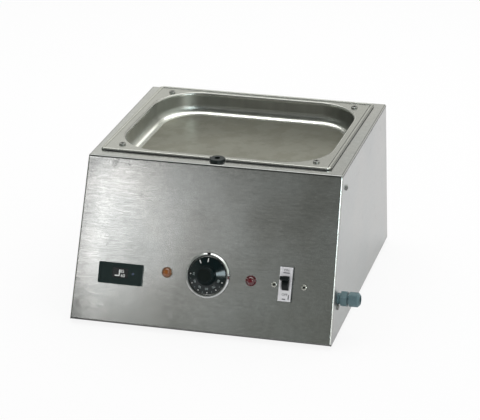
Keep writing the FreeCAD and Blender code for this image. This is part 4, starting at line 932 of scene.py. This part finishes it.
@dataclass(frozen=True)
class Panel:
    """The raked front: a place on it is given across, up the slope and out of it, in metres."""

    foot: tuple[float, float, float]
    inward: tuple[float, float, float]

    @classmethod
    def from_dial(cls, across: float, up: float) -> "Panel":
        """Work the panel out from the dial's joint.

        Args:
            across: The dial's place across the panel.
            up: The dial's place up the slope.

        Returns:
            The panel.
        """
        joint = next(j for j in frame["joints"] if j["name"] == "dial_turn")
        inward = np.array(joint["axis"])
        rise = np.array([0.0, -inward[2], inward[1]])
        foot = np.array(joint["pos_m"]) - across * np.array([1.0, 0.0, 0.0]) - up * rise
        return cls(tuple(foot), tuple(inward))

    def rake(self) -> float:
        """How far the panel leans back, in radians."""
        return math.asin(-self.inward[2])

    def axes(self) -> np.ndarray:
        """Rows: across, up the slope, outwards."""
        inward = np.array(self.inward)
        return np.array([[1.0, 0.0, 0.0], [0.0, -inward[2], inward[1]], -inward])

    def put(self, local: np.ndarray, across: float, up: float, out: float = 0.0) -> np.ndarray:
        """Carry local points to a place on the panel.

        Each point is the foot plus its three numbers, with the place added, times the three axes.

        Args:
            local: Points, one per row.
            across: The place across.
            up: The place up the slope.
            out: The place out of the panel.

        Returns:
            Points in the row frame.
        """
        return np.array(self.foot) + (np.asarray(local) + np.array([across, up, out])) @ self.axes()

    def spot(self, across: float, up: float, out: float = 0.0) -> tuple[float, float, float]:
        """One place on the panel in the row frame."""
        return tuple(self.put(np.zeros((1, 3)), across, up, out)[0])


# Sub-assemblies


@dataclass
class Case:
    """The folded case with its base, feet and screws."""

    panel: Panel
    side_lean: float = 4.8 * MM
    plate: SheetSteel = SheetSteel("plate_zinc", (0.56, 0.57, 0.58), Grain.NONE, rough=0.42, streak=0.05,
                                   cloud=0.12)
    screws: Plated = Plated("screw_dark", (0.27, 0.27, 0.26), rough=0.30, dull=0.3)
    inner: Plated = Plated("screw_zinc", (0.50, 0.51, 0.53), rough=0.34, dull=0.3)
    rubber: Moulded = Moulded("foot_rubber", (0.030, 0.030, 0.032), rough=0.72, skin=0.04 * MM, cells=1800.0,
                              dust=0.25)

    def front_satin(self) -> FoldedSteel:
        """The satin steel of the front and top, with its painted fold shade placed by the shell's box and the
        panel.

        Returns:
            The finish.
        """
        low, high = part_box("front_top_shell")
        mid, front, foot = self.panel.foot
        tall = high[2] - foot
        return FoldedSteel("front_satin", (0.605, 0.60, 0.588), Grain.ACROSS, rough=0.17, streak=0.12,
                           cloud=0.10, mottle=0.8, mid=mid, top=high[2],
                           half_top=(high[0] - low[0]) / 2 - self.side_lean, lean=self.side_lean / tall,
                           bend_y=front + tall * math.tan(self.panel.rake()), foot_y=front, foot_z=foot)

    def wrap_satin(self) -> EdgedSteel:
        """The satin steel of the sides and back, with its painted edge shade placed by the panel.

        Returns:
            The finish.
        """
        front, foot = self.panel.foot[1:]
        return EdgedSteel("wrap_satin", (0.475, 0.475, 0.468), Grain.DEEP, rough=0.32, streak=0.08,
                          cloud=0.07, mottle=0.4, rake=self.panel.rake(), foot_y=front, foot_z=foot)

    def build(self) -> None:
        """Dress the case's nodes."""
        dress(self.front_satin(), "front_top_shell")
        dress(self.wrap_satin(), "side_rear_shell")
        dress(self.plate, "base_plate", "breaker_bracket", "display_clips", "bulb_clips")
        dress(self.screws, "shell_screws", "thermostat_screws")
        dress(self.inner, "base_screws", "base_nuts", "foot_screws", "foot_nuts", "tank_nuts", "tray_studs",
              "tray_nuts", "amber_lamp_nut", "red_lamp_nut", "breaker_nuts")
        dress(self.rubber, "rubber_feet")


@dataclass
class Bath:
    """The pan, its gasket and grommet, and the heater pack below it."""

    flange_wide: float = 321.0 * MM
    flange_long: float = 262.0 * MM
    twist: float = math.radians(1.0)
    sheet: float = 0.9 * MM
    screws: Plated = Plated("screw_pan", (0.26, 0.26, 0.25), rough=0.30, dull=0.3)
    gasket: Moulded = Moulded("gasket_silicone", (0.060, 0.060, 0.060), rough=0.6)
    grommet: Moulded = Moulded("grommet_rubber", (0.004, 0.009, 0.009), rough=0.30, skin=0.03 * MM,
                               cells=1600.0, dust=0.02, gloss=0.25)
    heater: Moulded = Moulded("heater_silicone", (0.50, 0.14, 0.07), rough=0.6, skin=0.1 * MM, cells=700.0)
    fibre: Fibre = Fibre("insulation_fibre", (0.80, 0.78, 0.70))
    tray: SheetSteel = SheetSteel("tray_sheet", (0.70, 0.71, 0.72), Grain.ACROSS, rough=0.38)
    copper: Plated = Plated("capillary_copper", (0.72, 0.36, 0.20), rough=0.25, dull=0.4)

    def build(self) -> None:
        """Dress the bath's nodes."""
        low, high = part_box("tank")
        centre = tuple((a + b) / 2 for a, b in zip(low, high))
        pan = DrawnSteel("pan_drawn", (0.55, 0.55, 0.52), floor=low[2] + self.sheet, centre=centre,
                         half_wide=self.flange_wide / 2, half_long=self.flange_long / 2, twist=self.twist)
        dress(pan, "tank")
        dress(self.screws, "tank_screws")
        dress(self.gasket, "tank_gasket")
        dress(self.grommet, "probe_grommet")
        dress(self.heater, "heater_mat")
        dress(self.fibre, "insulation_pad")
        dress(self.tray, "insulation_tray")
        dress(self.copper, "capillary_bulb")


@dataclass
class Dial:
    """The thermostat dial: knob, chrome bezel, its scale and index. Turns are clockwise from the index."""

    panel: Panel
    across: float = 6.2 * MM
    up: float = 77.0 * MM
    rim_radius: float = 24.8 * MM
    rim_height: float = 3.4 * MM
    shoulder_radius: float = 13.5 * MM
    shoulder_height: float = 8.2 * MM
    figures: tuple[str, ...] = ("30", "40", "50", "60", "70", "80")
    figure_radius: float = 17.6 * MM
    figure_height: float = 3.0 * MM
    first_turn: float = -88.0
    turn_step: float = -32.4
    dot_radius: float = 22.6 * MM
    dot_size: float = 1.25 * MM
    small_dot_size: float = 0.8 * MM
    print_thick: float = 0.1 * MM
    tick_turns: tuple[float, ...] = (0.0, -31.0)
    tick_radius: float = 20.4 * MM
    tick_wide: float = 1.2 * MM
    tick_long: float = 5.0 * MM
    tick_thick: float = 0.12 * MM
    index_wide: float = 5.8 * MM
    index_long: float = 3.0 * MM
    index_thick: float = 0.5 * MM
    index_taper: float = 0.30
    index_radius: float = 28.9 * MM
    index_out: float = 4.4 * MM
    ink: Printed = Printed("dial_white", (0.80, 0.80, 0.78), wear=0.2)
    pale_ink: Printed = Printed("dial_grey", (0.30, 0.35, 0.35), wear=0.3)
    index_ink: Moulded = Moulded("index_black", (0.004, 0.004, 0.004), rough=0.6, skin=0.01 * MM, dust=0.0,
                                 gloss=0.1)
    chrome: Plated = Plated("bezel_chrome", (0.74, 0.75, 0.76), rough=0.09, dull=0.08)
    knob: Moulded = Moulded("knob_phenolic", (0.002, 0.008, 0.009), rough=0.18, skin=0.01 * MM, cells=3000.0,
                            dust=0.003, coat=0.4, gloss=0.2)
    cap: Moulded = Moulded("cap_black", (0.003, 0.007, 0.006), rough=0.42, dust=0.005, gloss=0.2)
    shaft: Plated = Plated("shaft_steel", (0.60, 0.60, 0.60), rough=0.28, dull=0.2)
    stat: Moulded = Moulded("stat_moulding", (0.62, 0.60, 0.52), rough=0.55)

    def on_skirt(self, local: np.ndarray, turn: float, radius: float, lift: float = 0.05 * MM) -> np.ndarray:
        """Lay flat points on the knob's sloping skirt.

        A point's y goes out along the radius and its x round the cone. Its angle is turn plus x over the
        radius. Its height follows the straight line from the rim to the shoulder, plus its own z and the
        lift.

        Args:
            local: Flat points, one per row.
            turn: Clockwise turn from the index, in degrees.
            radius: Radius at local y of 0.
            lift: Height above the skirt.

        Returns:
            Points on the dial's own axes.
        """
        r = radius + local[:, 1]
        angle = math.radians(90.0 - turn) - local[:, 0] / r
        slope = (self.shoulder_height - self.rim_height) / (self.rim_radius - self.shoulder_radius)
        z = self.rim_height + (self.rim_radius - r) * slope + local[:, 2] + lift
        return np.stack([r * np.cos(angle), r * np.sin(angle), z], axis=-1)

    def add_scale(self) -> None:
        """Ticks, dots and figures on the knob: a dot at each figure and a small one half way to the next."""
        bright, pale = [], []
        for turn in self.tick_turns:
            points, faces = slab(self.tick_wide, self.tick_long, self.tick_thick)
            bright.append((self.on_skirt(points, turn, self.tick_radius), faces))
        for number in range(2 * len(self.figures) - 1):
            turn = self.first_turn + self.turn_step * number / 2
            at_figure = number % 2 == 0
            size = self.dot_size if at_figure else self.small_dot_size
            points, faces = slab(size, size, self.print_thick)
            (bright if at_figure else pale).append((self.on_skirt(points, turn, self.dot_radius), faces))
        for number, figure in enumerate(self.figures):
            points, faces = lettering(figure, self.figure_height, self.print_thick)
            turn = self.first_turn + self.turn_step * number
            pale.append((self.on_skirt(points, turn, self.figure_radius, 0.03 * MM), faces))
        for name, parts, ink in (("dial_ticks", bright, self.ink), ("dial_figures", pale, self.pale_ink)):
            points, faces = join_parts(parts)
            place = self.panel.put(points, self.across, self.up)
            add_piece(name, place, faces, ink, "dial")

    def add_index(self) -> None:
        """The black index on the bezel's top: its width falls in a straight line towards the knob."""
        points, faces = slab(self.index_wide, self.index_long, self.index_thick)
        points[:, 0] *= 1.0 - self.index_taper * (0.5 - points[:, 1] / self.index_long)
        place = self.panel.put(points, self.across, self.up + self.index_radius, self.index_out)
        add_piece("dial_index", place, faces, self.index_ink, "case")

    def build(self) -> None:
        """Dress the dial's nodes and add its scale and index."""
        dress(self.chrome, "dial_bezel")
        dress(self.knob, "dial_knob")
        dress(self.cap, "dial_cap")
        dress(self.shaft, "thermostat_shaft")
        dress(self.stat, "thermostat_body")
        self.add_scale()
        self.add_index()


@dataclass
class Lamps:
    """The amber and the red pilot lamp."""

    panel: Panel
    up: float = 75.8 * MM
    lens_out: float = 2.0 * MM
    amber_across: float = -50.0 * MM
    red_across: float = 65.2 * MM
    amber_ring: Moulded = Moulded("ring_amber", (0.17, 0.11, 0.06), rough=0.22, skin=0.01 * MM, dust=0.02,
                                  coat=0.4)
    red_ring: Moulded = Moulded("ring_red", (0.085, 0.004, 0.009), rough=0.22, skin=0.01 * MM, dust=0.005,
                                coat=0.4)
    housing: Moulded = Moulded("lamp_moulding", (0.04, 0.04, 0.042), rough=0.5)

    def build(self) -> None:
        """Dress the lamps' nodes."""
        amber = Jewel("lens_amber", (0.16, 0.045, 0.005), heart=(0.38, 0.125, 0.013),
                      centre=self.panel.spot(self.amber_across, self.up, self.lens_out))
        red = Jewel("lens_red", (0.07, 0.002, 0.006), heart=(0.16, 0.004, 0.013),
                    centre=self.panel.spot(self.red_across, self.up, self.lens_out))
        dress(amber, "amber_lens")
        dress(red, "red_lens")
        dress(self.amber_ring, "amber_lamp_ring")
        dress(self.red_ring, "red_lamp_ring")
        dress(self.housing, "amber_lamp_body", "red_lamp_body", "display_case")


@dataclass
class Display:
    """The small display: frame, window, jewel and its characters, whose sizes are in millimetres."""

    panel: Panel
    across: float = -114.0 * MM
    up: float = 67.8 * MM
    face: float = 1.75 * MM
    numerals: tuple[Word, ...] = (("85", 2.2, 3.2), ("60", 3.6, -2.4))
    numeral_height: float = 4.2
    bars: tuple[Bar, ...] = ((-4.6, -2.6, 6.4, 1.5), (-1.6, 1.2, 1.4, 8.6))
    print_thick: float = 0.1
    ink: Printed = Printed("display_white", (0.86, 0.88, 0.86), wear=0.1)
    frame: Moulded = Moulded("display_moulding", (0.010, 0.022, 0.021), rough=0.38, skin=0.01 * MM, dust=0.03,
                             gloss=0.3)
    glass: Moulded = Moulded("display_glass", (0.003, 0.005, 0.005), rough=0.16, skin=0.002 * MM, cells=900.0,
                             dust=0.01, gloss=0.3)
    jewel: Moulded = Moulded("jewel_blue", (0.030, 0.055, 0.10), rough=0.15, skin=0.01 * MM, cells=900.0,
                             dust=0.0, coat=0.8)

    def add_characters(self) -> None:
        """Two short rows of numerals and a pointer bar in the window."""
        points, faces = flat_marks(self.numerals, self.numeral_height, self.bars, self.print_thick)
        place = self.panel.put(points, self.across, self.up, self.face)
        add_piece("display_characters", place, faces, self.ink, "case")

    def build(self) -> None:
        """Dress the display's nodes and add its characters."""
        dress(self.frame, "display_bezel")
        dress(self.glass, "display_window")
        dress(self.jewel, "display_led")
        self.add_characters()


@dataclass
class Breaker:
    """The circuit breaker: white nose, black toggle and its marks, whose sizes are in millimetres."""

    panel: Panel
    across: float = 112.7 * MM
    up: float = 75.8 * MM
    face: float = 3.2 * MM
    half_nose: float = 8.8 * MM
    screws_across: float = 117.1 * MM
    screws_up: float = 74.0 * MM
    head_radius: float = 3.5 * MM
    words: tuple[Word, ...] = (("ON", 0.0, 18.2), ("OFF", 0.0, -13.8))
    word_height: float = 3.2
    bars: tuple[Bar, ...] = ((0.0, 15.0, 8.8, 1.2), (-1.0, -19.6, 4.8, 1.2), (5.2, -16.6, 1.2, 6.0))
    print_thick: float = 0.08
    ink: Printed = Printed("breaker_grey_ink", (0.02, 0.025, 0.04), wear=0.2)
    toggle: Moulded = Moulded("toggle_moulding", (0.003, 0.006, 0.006), rough=0.30, skin=0.01 * MM,
                              dust=0.005, gloss=0.25)

    def nose(self) -> GappedMoulding:
        """The white moulding of the body, with painted shade where its right-hand side stands in the panel's
        cut-out.

        Returns:
            The finish.
        """
        middle = self.panel.spot(self.across, self.up)
        return GappedMoulding("breaker_moulding", (0.78, 0.78, 0.80), rough=0.38, skin=0.01 * MM, dust=0.08,
                              side=middle[0] + self.half_nose)

    def nickel(self) -> ScrewPlated:
        """The plating of the two screws, with the painted shade in the recess of each head placed by their box.

        Returns:
            The finish.
        """
        low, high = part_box("breaker_screws")
        return ScrewPlated("breaker_nickel", (0.74, 0.73, 0.68), rough=0.20, dull=0.2,
                           centre=self.panel.spot(self.screws_across, self.screws_up),
                           half_pitch=(high[0] - low[0]) / 2 - self.head_radius,
                           rise=tuple(self.panel.axes()[1]))

    def add_marks(self) -> None:
        """ON and OFF marks above and below the toggle, with bars beside them."""
        points, faces = flat_marks(self.words, self.word_height, self.bars, self.print_thick)
        place = self.panel.put(points, self.across, self.up, self.face)
        add_piece("breaker_marks", place, faces, self.ink, "case")

    def build(self) -> None:
        """Dress the breaker's nodes and add its marks."""
        dress(self.nose(), "breaker_body")
        dress(self.nickel(), "breaker_screws")
        dress(self.toggle, "breaker_toggle")
        self.add_marks()


@dataclass
class Entry:
    """The cable gland, the terminal block and the earth stud."""

    nylon: Moulded = Moulded("gland_nylon", (0.098, 0.170, 0.190), rough=0.42, cells=2200.0, dust=0.10)
    rubber: Moulded = Moulded("seal_rubber", (0.03, 0.03, 0.03), rough=0.7)
    block: Moulded = Moulded("terminal_nylon", (0.78, 0.78, 0.72), rough=0.45)
    brass: Plated = Plated("terminal_brass", (0.72, 0.58, 0.30), rough=0.25, dull=0.3)

    def build(self) -> None:
        """Dress the entry's nodes."""
        dress(self.nylon, "gland_body", "gland_dome_nut", "gland_lock_nut")
        dress(self.rubber, "gland_seal")
        dress(self.block, "terminal_block")
        dress(self.brass, "terminal_screws", "earth_stud", "earth_nut")


# Studio


@dataclass(frozen=True)
class AreaLamp:
    """A soft rectangular lamp: its place, what it points at, width and height in metres, power in watts."""

    name: str
    place: tuple[float, float, float]
    aim: tuple[float, float, float]
    size: tuple[float, float]
    power: float

    def add(self) -> None:
        """Hang the lamp, unseen by the camera."""
        data = bpy.data.lights.new(self.name, "AREA")
        data.shape = "RECTANGLE"
        data.size, data.size_y = self.size
        data.energy = self.power
        lamp = bpy.data.objects.new(self.name, data)
        place = Vector(self.place)
        away = (place - Vector(self.aim)).normalized()
        lamp.matrix_world = Matrix.Translation(place) @ away.to_track_quat("Z", "Y").to_matrix().to_4x4()
        lamp.visible_camera = False
        bpy.context.scene.collection.objects.link(lamp)


@dataclass
class Studio:
    """Floor, world, lamps and camera."""

    panel: Panel
    eye_from_foot: tuple[float, float, float] = (0.6969634, -2.2887876, 1.1728306)
    right: tuple[float, float, float] = (0.964844, 0.262464, -0.013738)
    down: tuple[float, float, float] = (0.088805, -0.37476, -0.922859)
    ahead: tuple[float, float, float] = (-0.247365, 0.889195, -0.384893)
    focal_pixels: float = 2012.153
    frame_pixels: float = 480.0
    sensor: float = 36.0
    floor_half: float = 9.0
    floor_drop: float = 0.2 * MM
    floor_white: float = 0.87
    floor_in_gloss: float = 0.3
    dim: float = 0.105
    front_light: float = 0.06
    right_light: float = 0.66
    left_light: float = 0.26
    window_light: float = 12.0
    spot_light: float = 8.0
    spot: tuple[float, float, float] = (-0.71, -0.54, 0.45)
    fill: Colour = (0.62, 0.62, 0.62)
    lamps: tuple[AreaLamp, ...] = (
        AreaLamp("lamp_right", (1.10, -1.15, 0.62), (0.0, -0.12, 0.10), (0.22, 0.6), 1.9),
        AreaLamp("lamp_card", (-13.5, -34.4, 15.4), (0.0, 0.0, 0.1), (1.73, 4.75), 150.0),
        AreaLamp("lamp_top", (0.0, 0.65, 1.7), (0.0, 0.0, 0.1), (2.2, 1.6), 19.0))

    def add_camera(self) -> None:
        """The camera that the photograph was taken with, as far as the object's edges tell."""
        data = bpy.data.cameras.new("camera")
        data.sensor_width = self.sensor
        data.lens = self.focal_pixels / self.frame_pixels * self.sensor
        data.clip_end = 100.0
        camera = bpy.data.objects.new("camera", data)
        eye = Vector(tuple(a + b for a, b in zip(self.panel.foot, self.eye_from_foot)))
        turn = Matrix((self.right, tuple(-c for c in self.down), tuple(-c for c in self.ahead))).transposed()
        camera.matrix_world = Matrix.Translation(eye) @ turn.to_4x4()
        bpy.context.scene.collection.objects.link(camera)
        bpy.context.scene.camera = camera

    def seen(self, s: Shader, path: bpy.types.Node) -> Value:
        """1 for what the camera sees straight or through glass."""
        return s.value(path.outputs["Is Camera Ray"]).larger(s.value(path.outputs["Is Transmission Ray"]))

    def lay_floor(self, s: Shader) -> None:
        """A diffuse floor mixed with plain white where the camera sees it, and in part where gloss does.

        Args:
            s: The material under construction.
        """
        path = s.node("LightPath")
        in_gloss = s.value(path.outputs["Is Glossy Ray"]) * self.floor_in_gloss
        white = self.seen(s, path).larger(in_gloss) * self.floor_white
        tone = s.shade((0.90, 0.90, 0.90), 1.0 + 0.01 * (s.noise(s.place(), 3.0, 2.0) - 0.5))
        lit = s.node("BsdfDiffuse", Color=tone)
        plain = s.node("Emission", Color=(1.0, 1.0, 1.0), Strength=1.0)
        mix = s.node("MixShader")
        s.feed(mix.inputs[0], white)
        s.feed(mix.inputs[1], lit.outputs[0])
        s.feed(mix.inputs[2], plain.outputs[0])
        s.node("OutputMaterial", Surface=mix.outputs[0])

    def add_floor(self) -> None:
        """A wide pale floor that keeps a soft shadow."""
        side = np.array([-self.floor_half, self.floor_half])
        x, y = np.meshgrid(side, side)
        points = np.stack([x, y, np.full_like(x, -self.floor_drop)], axis=-1).reshape(-1, 3)
        mesh = bpy.data.meshes.new("floor")
        mesh.from_pydata(points.tolist(), [], [[0, 1, 3, 2]])
        mesh.materials.append(new_material("floor_white", (0.9, 0.9, 0.9), self.lay_floor))
        floor = bpy.data.objects.new("floor", mesh)
        bpy.context.scene.collection.objects.link(floor)

    def room(self, s: Shader) -> bpy.types.NodeSocket:
        """The room that gloss reflects, by direction: x is to the right, y to the back and z up.

        Each area is a product of steps and bands of these, and the areas times their levels add up. The
        window's sides are measured by x over the way to the front, and the spot by the nearness to its
        direction.

        Args:
            s: The world under construction.

        Returns:
            The colour socket.
        """
        x, y, z = s.parts(s.node("TexCoord").outputs["Generated"])
        back, front, upper = y.step(0.1, 0.6), y.step(-0.2, -0.5), z.step(-0.2, 0.05)
        ceiling = z.step(0.60, 0.82) * y.step(-0.2, 0.05) * x.step(-0.75, -0.45)
        sides = 1.0 + 0.5 * x.step(-0.24, -0.38) + 0.10 * x.step(-0.25, -0.13)
        behind = back * z.step(0.0, 0.2) * (0.20 + 0.62 * z.step(0.50, 0.20)) * sides
        doorway = back * x.band(0.05, 0.18, 0.34, 0.46) * z.band(0.10, 0.25, 0.45, 0.60)
        aim = x / (0.0 - y).larger(0.1)
        window = aim.band(0.42, 0.50, 0.74, 0.84) * front * z.band(0.36, 0.42, 0.55, 0.60)
        near_spot = self.spot[0] * x + self.spot[1] * y + self.spot[2] * z
        level = self.dim + self.front_light * front * z.step(0.42, 0.34) + ceiling + behind + doorway
        level = level + self.right_light * x.step(0.35, 0.75) * upper
        level = level + self.left_light * x.step(-0.50, -0.85) * upper
        level = level + self.window_light * window + self.spot_light * near_spot.step(0.9955, 0.9980)
        walls = s.blend(back, (0.92, 1.0, 0.90), (0.99, 1.0, 0.94))
        return s.shade(s.blend(window, walls, (0.78, 0.95, 1.0)), level)

    def set_world(self) -> None:
        """White for the camera, the room for gloss and a plain grey for fill."""
        world = bpy.data.worlds.new("room")
        world.use_nodes = True
        bpy.context.scene.world = world
        s = Shader(world.node_tree)
        path = s.node("LightPath")
        around = s.blend(s.value(path.outputs["Is Glossy Ray"]), self.fill, self.room(s))
        sky = s.node("Background", Color=s.blend(self.seen(s, path), around, (1.0, 1.0, 1.0)), Strength=1.0)
        s.node("OutputWorld", Surface=sky.outputs[0])

    def build(self) -> None:
        """Set up everything round the object."""
        bpy.context.scene.view_settings.view_transform = "Standard"
        self.add_camera()
        self.add_floor()
        self.set_world()
        for lamp in self.lamps:
            lamp.add()


def main() -> None:
    """Build the studio and every sub-assembly in order."""
    logging.basicConfig(level=logging.INFO, format="%(message)s")
    panel = Panel.from_dial(Dial.across, Dial.up)
    parts = (Studio(panel), Case(panel), Bath(), Dial(panel), Lamps(panel), Display(panel), Breaker(panel),
             Entry())
    for part in parts:
        log.info("building %s", type(part).__name__)
        part.build()


if __name__ == "__main__":
    main()
